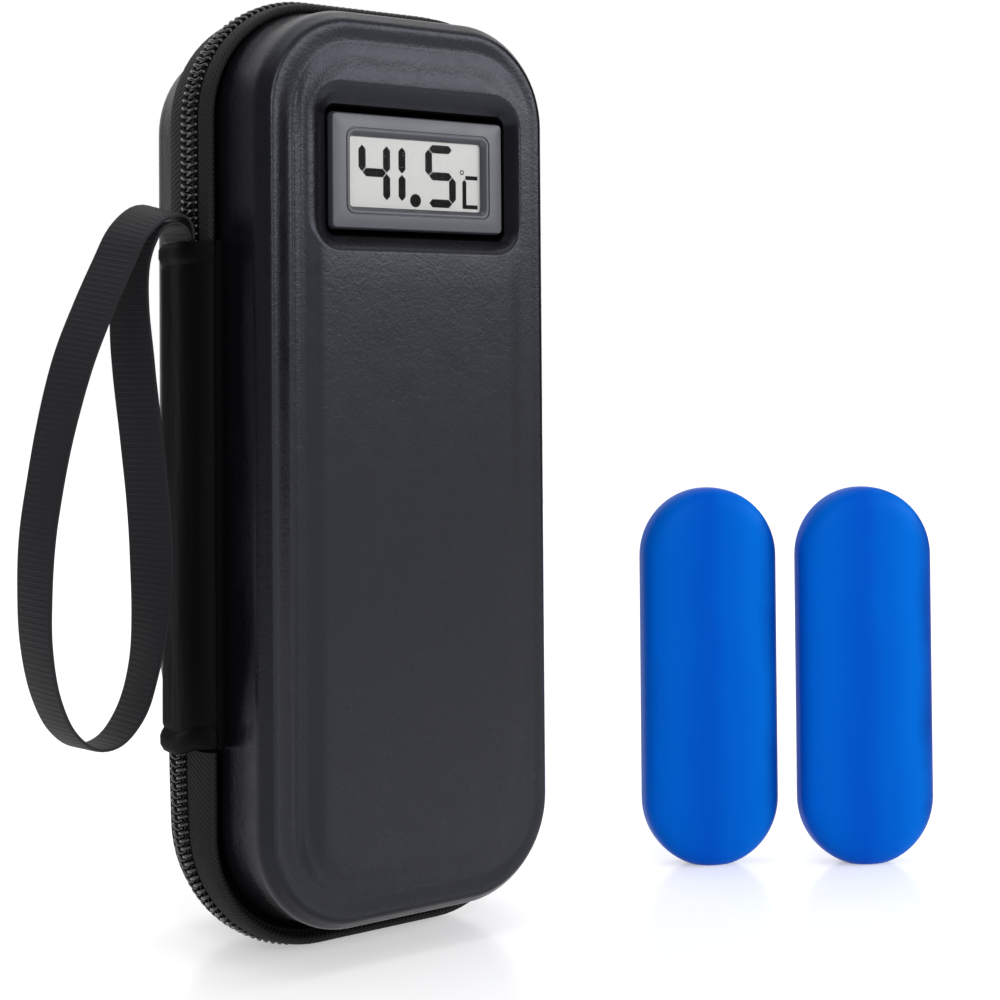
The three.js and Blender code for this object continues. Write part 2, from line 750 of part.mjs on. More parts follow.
// Zip sliders on the straight right-hand run, nose to nose, and their hanging pulls
const slider_outer = half_width + fit_gap;
const slider_inner = half_width - coil_drop - coil_height - fit_gap;
function slider(centre_z, nose) {
  const plate_top = slider_outer + slider_plate;
  const z0 = centre_z - slider_length / 2;
  const z1 = centre_z + slider_length / 2;
  const neck_tip = centre_z + nose * slider_length / 2;
  const neck_root = neck_tip - nose * slider_neck_length;
  const bail_inner = plate_top + bail_gap;
  return join([
    block(slider_outer, plate_top, seam_y - slider_width / 2, seam_y + slider_width / 2, z0, z1),
    block(
      slider_inner - slider_plate, slider_inner,
      seam_y - slider_inner_width / 2, seam_y + slider_inner_width / 2, z0, z1,
    ),
    block(
      slider_inner - slider_plate / 2, slider_outer + slider_plate / 2,
      seam_y - slider_neck / 2, seam_y + slider_neck / 2,
      Math.min(neck_tip, neck_root), Math.max(neck_tip, neck_root),
    ),
    block(
      plate_top - slider_plate / 2, bail_inner + bail_bar, seam_y - bail_width / 2, seam_y + bail_width / 2,
      centre_z - bail_length / 2, centre_z - bail_length / 2 + bail_post,
    ),
    block(
      plate_top - slider_plate / 2, bail_inner + bail_bar, seam_y - bail_width / 2, seam_y + bail_width / 2,
      centre_z + bail_length / 2 - bail_post, centre_z + bail_length / 2,
    ),
    block(
      bail_inner, bail_inner + bail_bar, seam_y - bail_width / 2, seam_y + bail_width / 2,
      centre_z - bail_length / 2, centre_z + bail_length / 2,
    ),
  ]);
}

// Pull: a wire frame through the bail, with a flat tab below it. Its own origin is the wire's axis.
const pull_bar_height = -bail_length / 2 + bail_post + pull_wire / 2 + fit_gap / 2;
function pull(centre_z, lean) {
  const arm = bail_width / 2 + fit_gap;
  const w = pull_wire / 2;
  const tab_top = -bail_length / 2;
  const geometry = join([
    block(-w, w, -pull_width / 2, pull_width / 2, -w, w),
    block(-w, w, arm, pull_width / 2, tab_top, w),
    block(-w, w, -pull_width / 2, -arm, tab_top, w),
    block(
      -w, -w + pull_thickness, -pull_width / 2, pull_width / 2, -pull_length, tab_top + w,
    ),
  ]);
  geometry.rotateY(-lean * Math.PI / 180);
  geometry.translate(
    slider_outer + slider_plate + bail_gap / 2, seam_y, centre_z + pull_bar_height,
  );
  return geometry;
}
const upper_slider_z = slider_height + slider_spacing / 2;
const lower_slider_z = slider_height - slider_spacing / 2;
add('zip_slider_upper', slider(upper_slider_z, -1), 'slider_metal');
add('zip_slider_lower', slider(lower_slider_z, 1), 'slider_metal');
add('zip_pull_upper', pull(upper_slider_z, pull_lean), 'slider_metal');
add('zip_pull_lower', pull(lower_slider_z, 0), 'slider_metal');

// Ice packs: a blow-moulded shell with crowned faces, its gel and a filling plug on the back.
// The crown's rings as [share of the half width drawn in, share of the half depth].
const crown_shares = [[0, 0.22], [0.03, 0.5], [0.09, 0.78], [0.2, 0.93], [0.43, 1]];
function pillow(shrink) {
  const levels = [...crown_shares.slice().reverse().map(([i, t]) => [i, -t]), ...crown_shares];
  const half_depth = pack_depth / 2 - shrink;
  const half = pack_width / 2 - shrink;
  return stackedRings(levels.map(([inset, depth]) => {
    const drawn_in = shrink + inset * half;
    return cornerStations(
      pack_width - 2 * drawn_in, pack_height - 2 * drawn_in, pack_width / 2 - drawn_in - fit_gap,
      pack_height / 2, 0, 4, pack_steps,
    ).map((s) => new THREE.Vector3(s.x, depth * half_depth, s.z));
  }));
}

function disc(radius, y0, y1, z) {
  const geometry = new THREE.CylinderGeometry(radius, radius, y1 - y0, round_steps);
  geometry.translate(0, (y0 + y1) / 2, z);
  return geometry;
}

pack_places.forEach(([x, y], index) => {
  const group = new THREE.Group();
  group.position.set(x, seam_y + y, -pack_flat);
  group.rotation.z = pack_turn * Math.PI / 180;
  object.add(group);
  const name = index === 0 ? 'left' : 'right';
  const half_depth = pack_depth / 2;
  const filler_z = pack_height - filler_drop;
  const below = -cut_overrun;
  add(`ice_pack_${name}`, cut(pillow(0), [
    pillow(pack_wall),
    disc(filler_radius, half_depth - pack_wall * 2, half_depth + cut_overrun, filler_z),
    block(-pack_width, pack_width, -pack_depth, pack_depth, below, pack_flat),
  ]), 'pack_plastic', group);
  add(`ice_pack_gel_${name}`, pillow(pack_wall + fit_gap), 'gel', group);
  add(`ice_pack_plug_${name}`, join([
    disc(filler_radius - fit_gap, half_depth - pack_wall, half_depth + fit_gap * 2, filler_z),
    disc(plug_head_radius, half_depth + fit_gap, half_depth + fit_gap + plug_head, filler_z),
  ]), 'pack_plastic', group);
});

export default object;
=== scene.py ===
import math

import bmesh
import bpy
from mathutils import Matrix, Vector, noise


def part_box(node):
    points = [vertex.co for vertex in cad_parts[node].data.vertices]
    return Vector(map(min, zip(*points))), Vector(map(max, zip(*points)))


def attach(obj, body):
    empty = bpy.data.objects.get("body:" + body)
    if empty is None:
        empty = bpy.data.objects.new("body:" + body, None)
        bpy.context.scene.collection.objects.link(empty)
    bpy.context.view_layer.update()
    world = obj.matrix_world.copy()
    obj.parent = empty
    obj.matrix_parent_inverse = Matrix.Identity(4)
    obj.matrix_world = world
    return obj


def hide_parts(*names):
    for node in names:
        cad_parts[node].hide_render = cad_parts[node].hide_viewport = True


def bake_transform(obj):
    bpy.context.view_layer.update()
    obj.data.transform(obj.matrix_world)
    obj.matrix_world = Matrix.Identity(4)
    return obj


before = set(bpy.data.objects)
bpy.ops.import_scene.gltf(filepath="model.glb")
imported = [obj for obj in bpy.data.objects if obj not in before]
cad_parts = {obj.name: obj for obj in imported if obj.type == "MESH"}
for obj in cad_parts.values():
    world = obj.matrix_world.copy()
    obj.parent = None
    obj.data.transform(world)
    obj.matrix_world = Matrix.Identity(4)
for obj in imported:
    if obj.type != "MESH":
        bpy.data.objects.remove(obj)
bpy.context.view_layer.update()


# Camera: a short portrait lens a third of a metre away, level with the display and turned so that the hinge
# side shows. Its shift keeps the case's sides upright and puts the case and the ice packs where they stand
# in the photograph.
camera_place = Vector((-0.2206, -0.3455, 0.1308))
camera_turn = math.radians(32.85)
camera_rise = math.radians(1.18)
camera_roll = math.radians(-0.34)

ahead = Vector((
    math.sin(camera_turn) * math.cos(camera_rise),
    math.cos(camera_turn) * math.cos(camera_rise),
    math.sin(camera_rise),
))
level = Vector((math.cos(camera_turn), -math.sin(camera_turn), 0))
upright = level.cross(ahead)
rolled_right = level * math.cos(camera_roll) + upright * math.sin(camera_roll)
rolled_up = upright * math.cos(camera_roll) - level * math.sin(camera_roll)


def put(thing):
    """Puts an object into the scene."""
    bpy.context.scene.collection.objects.link(thing)
    return thing


lens = bpy.data.cameras.new("photo view")
lens.lens, lens.sensor_width = 63.2, 36
lens.shift_x, lens.shift_y = 0.1515, -0.1821
lens.clip_start = 0.01
camera = put(bpy.data.objects.new("photo view", lens))
camera.matrix_world = Matrix.Translation(camera_place) @ Matrix(
    (rolled_right, rolled_up, -ahead)
).transposed().to_4x4()
bpy.context.scene.camera = camera
bpy.context.scene.view_settings.view_transform = "Standard"


# Floor, background and lamps: a white gloss-painted table under large soft lamps. The floor keeps the
# shadow and a blurred reflection of what stands on it.
def linear(srgb):
    """An sRGB hex colour as linear red, green, blue and alpha."""
    channels = [(srgb >> shift & 0xFF) / 255 for shift in (16, 8, 0)]
    return [c / 12.92 if c <= 0.04045 else ((c + 0.055) / 1.055) ** 2.4 for c in channels] + [1]


def add_node(tree, kind, values=None):
    """A node with its values: properties, inputs' own values, and nodes or outputs joined to inputs."""
    made = tree.nodes.new(kind)
    for name, value in (values or {}).items():
        if isinstance(value, bpy.types.Node):
            value = value.outputs[0]
        if isinstance(value, bpy.types.NodeSocket):
            tree.links.new(value, made.inputs[name])
        elif isinstance(name, int) or name in made.inputs:
            made.inputs[name].default_value = value
        else:
            setattr(made, name, value)
    return made


def start_finish(name, colour, roughness, ior=1.5, metallic=0.0, level=0.5):
    """A material named for its real finish, and its shader."""
    material = bpy.data.materials.new(name)
    material.use_nodes = True
    tree = material.node_tree
    tree.nodes.clear()
    shader = add_node(tree, "ShaderNodeBsdfPrincipled", {
        "Base Color": linear(colour), "Roughness": roughness, "IOR": ior, "Metallic": metallic,
        "Specular IOR Level": level,
    })
    add_node(tree, "ShaderNodeOutputMaterial", {"Surface": shader})
    return material, shader


def seen_by(tree, *kinds):
    """1 for the camera's rays and for rays of these kinds, 0 for others."""
    path = add_node(tree, "ShaderNodeLightPath")
    total = path.outputs["Is Camera Ray"]
    for kind in kinds:
        total = add_node(tree, "ShaderNodeMath", {"operation": "ADD", 0: total, 1: path.outputs[kind]})
    return total


def four_sided(name, corners, finish):
    """A flat panel through four corners."""
    mesh = bpy.data.meshes.new(name)
    mesh.from_pydata(corners, [], [(0, 1, 2, 3)])
    mesh.materials.append(finish)
    return put(bpy.data.objects.new(name, mesh))


floor_reach = 3.0
floor_drop = 0.00012
floor_lift = 0.38
floor_paint, shader = start_finish("gloss paint, white, on a table top", 0xF4F4F5, 0.2, 1.45)
tree = shader.id_data
lift = add_node(tree, "ShaderNodeMath", {
    "operation": "MULTIPLY", 0: seen_by(tree, "Is Glossy Ray"), 1: floor_lift,
})
glow = add_node(tree, "ShaderNodeEmission", {"Strength": lift})
both = add_node(tree, "ShaderNodeAddShader", {0: shader, 1: glow})
tree.links.new(both.outputs[0], tree.nodes["Material Output"].inputs["Surface"])
floor = four_sided("floor", [
    (x * floor_reach, y * floor_reach, -floor_drop) for x, y in ((-1, -1), (1, -1), (1, 1), (-1, 1))
], floor_paint)

# White where the camera sees it, half as bright where it lights the part
ambient = 0.5
world = bpy.data.worlds.new("white studio")
world.use_nodes = True
tree = world.node_tree
tree.nodes.clear()
strength = add_node(tree, "ShaderNodeMapRange", {
    "To Min": ambient, "To Max": 1.0, "Value": seen_by(tree, "Is Glossy Ray", "Is Transmission Ray"),
})
backdrop = add_node(tree, "ShaderNodeBackground", {"Color": linear(0xFFFFFF), "Strength": strength})
add_node(tree, "ShaderNodeOutputWorld", {"Surface": backdrop})
bpy.context.scene.world = world

# Each lamp: name, place, width, height, watts
lamps = [
    ("softbox above", (0.0, 0.15, 1.1), 1.2, 1.0, 4.4),
    ("softbox at the front right", (0.74, -1.08, 0.51), 0.84, 0.42, 6.4),
    ("softbox at the front left", (-0.36, -1.15, 0.5), 0.34, 0.5, 4.6),
]
lamp_aim = Vector((0.02, 0, 0.1))
for name, place, width, height, watts in lamps:
    lamp = bpy.data.lights.new(name, "AREA")
    lamp.shape = "RECTANGLE"
    lamp.size, lamp.size_y = width, height
    lamp.energy = watts
    holder = put(bpy.data.objects.new(name, lamp))
    holder.location = place
    holder.rotation_euler = (lamp_aim - Vector(place)).to_track_quat("-Z", "Y").to_euler()

# Two flags give the glossy black surfaces something dark to mirror: a dark grey one stands behind and beside
# the hinge, a black one to the right. Each: name, the two ends of its foot, height, light it gives back
flags = [
    ("flag at the left", (-0.6, -0.8), (-0.56, 1.5), 0.7, 0.3),
    ("flag at the right", (0.95, -0.62), (0.95, 0.5), 0.9, 0.0),
]
for name, near, far, height, given_back in flags:
    flag_cloth, shader = start_finish(f"cloth of the {name}", 0x050505, 0.9)
    shader.inputs["Emission Color"].default_value = (1, 1, 1, 1)
    shader.inputs["Emission Strength"].default_value = given_back
    flag = four_sided(name, [(*near, 0), (*far, 0), (*far, height), (*near, height)], flag_cloth)
    flag.visible_camera = flag.visible_diffuse = flag.visible_shadow = False


# Base shell: the rear half. A 3.4 mm sheet of EVA foam laminated to black PU leather and pressed in a mould,
# so every edge is round; its flat back falls away softly to a rounded edge.
tape_low, tape_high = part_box("base_zip_tape")
case_width = tape_high.x - tape_low.x
case_height = tape_high.z - tape_low.z
middle = case_height / 2
seam_y = (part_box("base_zip_coil")[0].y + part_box("lid_zip_coil")[1].y) / 2
base_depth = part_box("base_shell")[1].y - seam_y
lid_depth = seam_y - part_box("lid_shell")[0].y
zip_corner = 0.0286
corner_steps, run_steps, side_steps = 18, 30, 5
shell_wall = 0.0034
wall_inset = 0.0062
flange_start, flange_start_inset = 0.0046, 0.0028
flange_end, flange_end_inset = 0.0082, 0.0041
groove_floor = 0.0062
shoulder = 0.0065
face_inset = 0.0205
plateau_inset, plateau_drop = 0.0150, 0.0010
valley_inset, valley_drop = 0.0130, 0.0018
ridge_inset, ridge_drop = 0.0090, 0.0003
fading_drop = 0.0004


def ease(share):
    """0 to 1 with a level start and end."""
    share = min(max(share, 0), 1)
    return share * share * (3 - 2 * share)


def corners(count):
    """The four corners of an outline in turn, with count points on each: (right, top, angle)."""
    return [
        (right, top, (k + i / (count - 1)) * math.pi / 2)
        for k, (right, top) in enumerate(((1, 1), (-1, 1), (-1, -1), (1, -1))) for i in range(count)
    ]


def rounded_ring(width, height, corner, x, z, depth, side):
    """Points round a rounded rectangle in the XZ plane, depth away from the seam towards the side's +-Y."""
    arcs = [Vector((
        x + right * (width / 2 - corner) + corner * math.cos(angle),
        seam_y + side * depth,
        z + top * (height / 2 - corner) + corner * math.sin(angle),
    )) for right, top, angle in corners(corner_steps + 1)]
    ring = []
    for i, point in enumerate(arcs):
        ring.append(point)
        if i % (corner_steps + 1) == corner_steps:
            following = arcs[(i + 1) % len(arcs)]
            ring += [point.lerp(following, j / run_steps) for j in range(1, run_steps)]
    return ring


def outline_ring(inset, depth, side, above=0.0, below=0.0, aside=0.0):
    """A ring parallel to the case's outline, inset from the zip's outer edge; it may reach further out at
    its upper and lower end, or lie a little to the right."""
    return rounded_ring(
        case_width - 2 * inset, case_height - 2 * inset + above + below, zip_corner - inset,
        aside, middle + (above - below) / 2, depth, side,
    )


def smooth_through(points, steps):
    """A smooth line through points, with an even count of steps between each two (centripetal)."""
    line = [Vector(p) for p in points]
    line = [2 * line[0] - line[1], *line, 2 * line[-1] - line[-2]]
    smooth = []
    for a, b, c, d in zip(line, line[1:], line[2:], line[3:]):
        t1 = math.sqrt((b - a).length)
        t2 = t1 + math.sqrt((c - b).length)
        t3 = t2 + math.sqrt((d - c).length)
        for i in range(steps):
            t = t1 + (t2 - t1) * i / steps
            ab = a.lerp(b, t / t1)
            bc = b.lerp(c, (t - t1) / (t2 - t1))
            cd = c.lerp(d, (t - t2) / (t3 - t2))
            abc = ab.lerp(bc, t / t2)
            bcd = bc.lerp(cd, (t - t1) / (t3 - t1))
            smooth.append(abc.lerp(bcd, (t - t1) / (t2 - t1)))
    smooth.append(line[-2])
    return smooth


sharp_angle = math.radians(42)


def piece_from(name, points, faces, finish):
    """A mesh piece with its faces outwards, smooth but for edges sharper than sharp_angle."""
    mesh = bpy.data.meshes.new(name)
    mesh.from_pydata(points, [], faces)
    shape = bmesh.new()
    shape.from_mesh(mesh)
    bmesh.ops.recalc_face_normals(shape, faces=shape.faces)
    shape.to_mesh(mesh)
    shape.free()
    mesh.shade_smooth()
    mesh.set_sharp_from_angle(angle=sharp_angle)
    mesh.materials.append(finish)
    return put(bpy.data.objects.new(name, mesh))


def loft(name, rings, finish, ends="capped"):
    """A skin through closed rings of equal counts. Its ends are capped, or joined to each other."""
    columns = len(rings[0])
    faces = []
    for i in range(len(rings) if ends == "joined" else len(rings) - 1):
        a, b = i * columns, (i + 1) % len(rings) * columns
        faces += [(a + j, a + (j + 1) % columns, b + (j + 1) % columns, b + j) for j in range(columns)]
    if ends == "capped":
        last = (len(rings) - 1) * columns
        faces += [tuple(range(columns)), tuple(range(last, last + columns))]
    return piece_from(name, [p for ring in rings for p in ring], faces, finish)


# The laminate's face: pressed pebble grain about half a millimetre across, soft pulls in the film, and a
# satin gloss that varies a little from place to place.
def mottle(shader, size, detail=2, roughness=0.5, distortion=0, place=None):
    """Noise of a size in metres over the piece's own coordinates."""
    tree = shader.id_data
    place = place or add_node(tree, "ShaderNodeTexCoord").outputs["Object"]
    return add_node(tree, "ShaderNodeTexNoise", {
        "Scale": 1 / size, "Detail": detail, "Roughness": roughness, "Distortion": distortion,
        "Vector": place,
    })


def vary_height(shader, texture, strength, height):
    """Relief that follows a texture, its height in metres."""
    tree = shader.id_data
    bump = add_node(tree, "ShaderNodeBump", {"Strength": strength, "Distance": height, "Height": texture})
    tree.links.new(bump.outputs[0], shader.inputs["Normal"])


def vary_gloss(shader, texture, low, high, dark=0, light=1):
    """Roughness from low to high, as the texture goes from dark to light."""
    tree = shader.id_data
    gloss = add_node(tree, "ShaderNodeMapRange", {
        "From Min": dark, "From Max": light, "To Min": low, "To Max": high, "Value": texture,
    })
    tree.links.new(gloss.outputs[0], shader.inputs["Roughness"])


def vary_colour(shader, texture, low, high):
    """The finish's own colour times a share from low to high, as the texture goes from 0 to 1."""
    tree = shader.id_data
    colour = shader.inputs["Base Color"]
    share = add_node(tree, "ShaderNodeMapRange", {"To Min": low, "To Max": high, "Value": texture})
    tint = add_node(tree, "ShaderNodeVectorMath", {
        "operation": "SCALE", 0: colour.default_value[:3], "Scale": share,
    })
    tree.links.new(tint.outputs[0], colour)


grain_size, grain_height = 0.00062, 0.00006
wrinkle_size, pull_size = 0.0017, 0.006
leather, shader = start_finish(
    "PU leather on pressed EVA foam, black, fine grain", 0x0B0B0E, 0.3, 1.45, level=0.36,
)
shader.inputs["Specular Tint"].default_value = linear(0xE9EDFF)
tree = shader.id_data
pebbles = add_node(tree, "ShaderNodeTexVoronoi", {
    "feature": "SMOOTH_F1", "Scale": 1 / grain_size, "Smoothness": 0.6,
    "Vector": add_node(tree, "ShaderNodeTexCoord").outputs["Object"],
})
pulls = mottle(shader, pull_size, 6, 0.62)
wrinkles = mottle(shader, wrinkle_size, 3, 0.55, 0.9)
relief = add_node(tree, "ShaderNodeMath", {"operation": "MULTIPLY_ADD", 0: pebbles, 1: 0.45, 2: pulls})
relief = add_node(tree, "ShaderNodeMath", {"operation": "MULTIPLY_ADD", 0: wrinkles, 1: 1.1, 2: relief})
vary_height(shader, relief, 0.8, grain_height)
vary_gloss(shader, pulls, 0.25, 0.34, 0.3, 0.7)

# Matt black with almost no gloss: the foam's raw cut edge, and painted shade in the gap round the bezel and
# in the groove under the flange
foam, shader = start_finish("EVA foam cut edge and painted shade, matt black", 0x050505, 0.95, 1.3, level=0.02)
vary_height(shader, mottle(shader, 0.0003), 0.4, 0.00005)


def shell_side(depth, side, above=0.0, below=0.0, aside=0.0, plateau=plateau_drop, valley=valley_drop):
    """Rings from the plateau's edge over the ridge, down the wall, round the flange and up the inside."""
    outer = smooth_through([
        (plateau_inset, depth - plateau, aside),
        ((plateau_inset + valley_inset) / 2, depth - (plateau + valley) / 2, aside),
        (valley_inset, depth - valley, aside),
        (ridge_inset, depth - ridge_drop, 0),
        ((ridge_inset + wall_inset) / 2, depth - shoulder / 4, 0),
        (wall_inset + ridge_drop, depth - shoulder / 2, 0),
        (wall_inset, depth - shoulder, 0),
        (wall_inset - 0.0004, (depth - shoulder + flange_end) / 2, 0),
        (wall_inset - 0.0010, flange_end + shell_wall / 2, 0),
        (wall_inset - 0.0015, flange_end, 0),
        (wall_inset - 0.0015, groove_floor + 0.0005, 0),
        (wall_inset - 0.0018, groove_floor, 0),
    ], side_steps)
    inner = [
        (flange_end_inset - 0.0001, groove_floor),
        (flange_start_inset + 0.0004, groove_floor - 0.0004),
        (flange_start_inset, flange_start),
        (wall_inset + shell_wall, flange_start),
        (wall_inset + shell_wall, depth - shoulder),
        (wall_inset + shell_wall + ridge_drop, depth - shell_wall - shoulder / 4),
        (wall_inset + 2 * shell_wall, depth - shell_wall),
    ]
    return [
        *[outline_ring(inset, level, side, above, below, shift) for inset, level, shift in outer],
        *[outline_ring(inset, level, side) for inset, level in inner],
    ]


def paint_cut_edge_and_shade(shell, first_ring, last_ring):
    """Give the faces between two rings the matt black finish: the foam's raw edge, and painted shade."""
    if len(shell.data.materials) == 1:
        shell.data.materials.append(foam)
    columns = 4 * (corner_steps + run_steps)
    for face in shell.data.polygons[first_ring * columns:last_ring * columns]:
        face.material_index = 1


# The rings of shell_side from under the wall to the groove's floor, painted matt black: the foam's cut edge
# there, and painted shade in the groove
groove_cut_edge_and_shade_rings = 9 * side_steps, 11 * side_steps + 2
# Below the hinge the side is drawn in behind the zip
drawn_in = 0.0026
draw_left, draw_left_reach, draw_top, draw_top_reach = -0.02, 0.02, 0.06, 0.016
base_rings = [
    outline_ring(face_inset, base_depth, 1),
    outline_ring((face_inset + plateau_inset) / 2, base_depth - fading_drop / 3, 1),
    *shell_side(base_depth, 1, plateau=fading_drop, valley=fading_drop),
]
base_shell = loft("base_shell_leather", [[p + Vector((
    drawn_in * ease((draw_left - p.x) / draw_left_reach) * ease((draw_top - p.z) / draw_top_reach), 0, 0,
)) for p in ring] for ring in base_rings], leather)
# Painted shade in the groove under the flange, on the foam's cut edge
paint_cut_edge_and_shade(base_shell, *[2 + ring for ring in groove_cut_edge_and_shade_rings])
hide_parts("base_shell")
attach(base_shell, "base")


# Base lining: 1.6 mm polyethylene foam faced with aluminised film, heat-formed to the shell's inside and
# glued along its edge. The film keeps small dents.
lining_thickness = 0.0016
part_gap = 0.0003
film, shader = start_finish("aluminised film on polyethylene foam", 0xB9BCC0, 0.3, 1.5, 0.75)
vary_height(shader, mottle(shader, 0.009, 3, distortion=0.6), 0.5, 0.0006)


def lining_side(depth, side):
    """Rings from the inner face's edge, along the wall to the rim, and back along the outside."""
    outer = wall_inset + shell_wall + part_gap
    back = depth - shell_wall - part_gap
    inner = outer + lining_thickness
    inside = smooth_through([
        (inner + shell_wall, back - lining_thickness),
        (inner + ridge_drop, back - lining_thickness - shoulder / 4),
        (inner, back - shoulder + shell_wall - lining_thickness),
        (inner, flange_start + lining_thickness),
        (inner - lining_thickness / 2, flange_start),
    ], 4)
    outside = [
        (outer, flange_start + lining_thickness / 2),
        (outer, back - shoulder + shell_wall),
        (outer + ridge_drop, back - shoulder / 4),
        (outer + shell_wall, back),
    ]
    return [outline_ring(inset, level, side) for inset, level in [*inside, *outside]]


base_lining = loft("base_lining_film", lining_side(base_depth, 1), film)
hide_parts("base_lining")
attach(base_lining, "base")


# Zip tapes: woven nylon twill, one along each half's rim. Each lies on the shell's flange, slopes down from
# the coil to a rounded edge and is sewn into the groove there. They run from one end of the spine round to
# the other.
spine_low, spine_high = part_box("hinge_spine")
tape_tuck = 0.002
# The coils meet a little to the lid's side of the shells' parting line
coil_offset = 0.0015
coil_half_width = 0.0034
# Below the spine the zip bows outwards and towards the back, less and less along its run
bow_run, bow_back, bow_out = 0.068, 0.0036, 0.0014


def tape_section(side, bow):
    """The tape as (inset, distance from the seam), from its edge under the coil round to it again."""
    offset = coil_offset - bow_back * bow
    out = bow_out * bow
    edge = 0.0004 - side * offset
    rim = coil_half_width - side * offset
    return [
        (0.0025 - out, edge), (0.0019 - out, edge), (0.0019 - out, rim - 0.0003),
        (0.0014 - out, rim + 0.0001), (0.00105 - out, rim + 0.0006), (0.0011 - out, rim + 0.0012),
        (0.0012 - out * 0.7, (rim + 0.0012 + 0.0083) / 2), (0.0015 - out * 0.3, 0.0083), (0.0017, 0.0088),
        (0.0021, 0.00915), (0.0026, 0.0092), (0.0031, 0.0089), (0.0034, 0.0082), (0.0036, 0.0072),
        (0.0039, 0.0066), (0.0042, 0.0064), (0.0042, 0.00625), (0.0033, 0.0064), (0.0026, 0.0058),
        (0.0023 - out * 0.5, 0.0046),
    ]


def outward(point):
    """The direction square to the case's outline at a point on it."""
    x = max(abs(point.x) - case_width / 2 + zip_corner, 0)
    z = max(abs(point.z - middle) - case_height / 2 + zip_corner, 0)
    return Vector((math.copysign(x, point.x), 0, math.copysign(z, point.z - middle))).normalized()


def zip_stations():
    """Places along the zip from the spine's lower end round: (point on the outline, outwards, bow)."""
    left = -case_width / 2
    low, high = spine_low.z + tape_tuck, spine_high.z - tape_tuck
    ring = outline_ring(0, 0, 1)
    first = next(i for i, p in enumerate(ring) if p.x < left + 1e-6 and p.z < low)
    points = [Vector((left, seam_y, low))]
    points += [p for p in ring[first:] + ring[:first] if not (p.x < left + 1e-6 and low < p.z < high)]
    points.append(Vector((left, seam_y, high)))
    stations, run = [], 0
    for before, point in zip([points[0], *points], points):
        run += (point - before).length
        stations.append((point, outward(point), 1 - ease(run / bow_run)))
    return stations


def map_weave(piece, rings):
    """A UV map in millimetres for a woven skin: along the rings, then round them."""
    columns = len(rings[0])
    along, across = [0.0], [0.0]
    for a, b in zip(rings, rings[1:]):
        along.append(along[-1] + max((q - p).length for p, q in zip(a, b)) * 1000)
    for a, b in zip(rings[0], [*rings[0][1:], rings[0][0]]):
        across.append(across[-1] + (b - a).length * 1000)
    layer = piece.data.uv_layers.new(name="weave")
    for face in piece.data.polygons:
        places = [divmod(piece.data.loops[i].vertex_index, columns) for i in face.loop_indices]
        wraps = {0, columns - 1} <= {column for _, column in places}
        for i, (row, column) in zip(face.loop_indices, places):
            layer.data[i].uv = (along[row], across[columns if wraps and column == 0 else column])


# Twill shows as fine slanting lines. They are 0.4 mm apart; drawn at 0.9 mm so that they show.
def stripes(shader, pitch, axis="X", distortion=0, detail_scale=1, place=None):
    """Even stripes a pitch apart, across one axis of the piece's own coordinates."""
    tree = shader.id_data
    place = place or add_node(tree, "ShaderNodeTexCoord").outputs["Object"]
    wave_period = math.pi / 10
    return add_node(tree, "ShaderNodeTexWave", {
        "bands_direction": axis, "Scale": wave_period / pitch, "Distortion": distortion,
        "Detail Scale": detail_scale, "Vector": place,
    }).outputs["Fac"]


twill_pitch = 0.9
twill, shader = start_finish("nylon twill zip tape, black", 0x141415, 0.7, level=0.22)
place = add_node(shader.id_data, "ShaderNodeUVMap", {"uv_map": "weave"})
slant = add_node(shader.id_data, "ShaderNodeMapping", {"Rotation": (0, 0, math.radians(38)), "Vector": place})
lines = stripes(shader, twill_pitch, "X", 1.2, 3, slant)
vary_colour(shader, lines, 0.55, 1.35)
vary_height(shader, lines, 0.8, 0.0002)

for half, side in (("base", 1), ("lid", -1)):
    tape_rings = [
        [p - out * inset + Vector((0, side * level, 0)) for inset, level in tape_section(side, bow)]
        for p, out, bow in zip_stations()
    ]
    tape = loft(f"{half}_zip_tape_twill", tape_rings, twill)
    map_weave(tape, tape_rings)
    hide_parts(f"{half}_zip_tape")
    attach(tape, half)


# Zip coils: a nylon monofilament wound into turns, one coil along each tape, so that the heads of the two
# interlock on the seam. Two threads sew each coil down to its tape.
coil_pitch = 0.00168
coil_wire = 0.0004
coil_inset = 0.0009


def ways(line):
    """The direction of a line at each of its points."""
    return [(b - a).normalized() for a, b in zip([line[0], *line], [*line[1:], line[-1]])]


def oval(centre, across, upwards, count, size=1):
    """Points round an oval: its middle, its two half axes, how many points, and what it is scaled by."""
    return [
        centre + (across * math.cos(a) + upwards * math.sin(a)) * size
        for a in (k * 2 * math.pi / count for k in range(count))
    ]


def swept_tube(name, points, radius, sides, finish):
    """A round wire along a line, capped at both ends."""
    line = [Vector(p) for p in points]
    rings = []
    for point, way in zip(line, ways(line)):
        flat = way.cross(Vector((1, 0, 0.02))).normalized()
        rings.append(oval(point, flat, way.cross(flat), sides, radius))
    return loft(name, rings, finish)


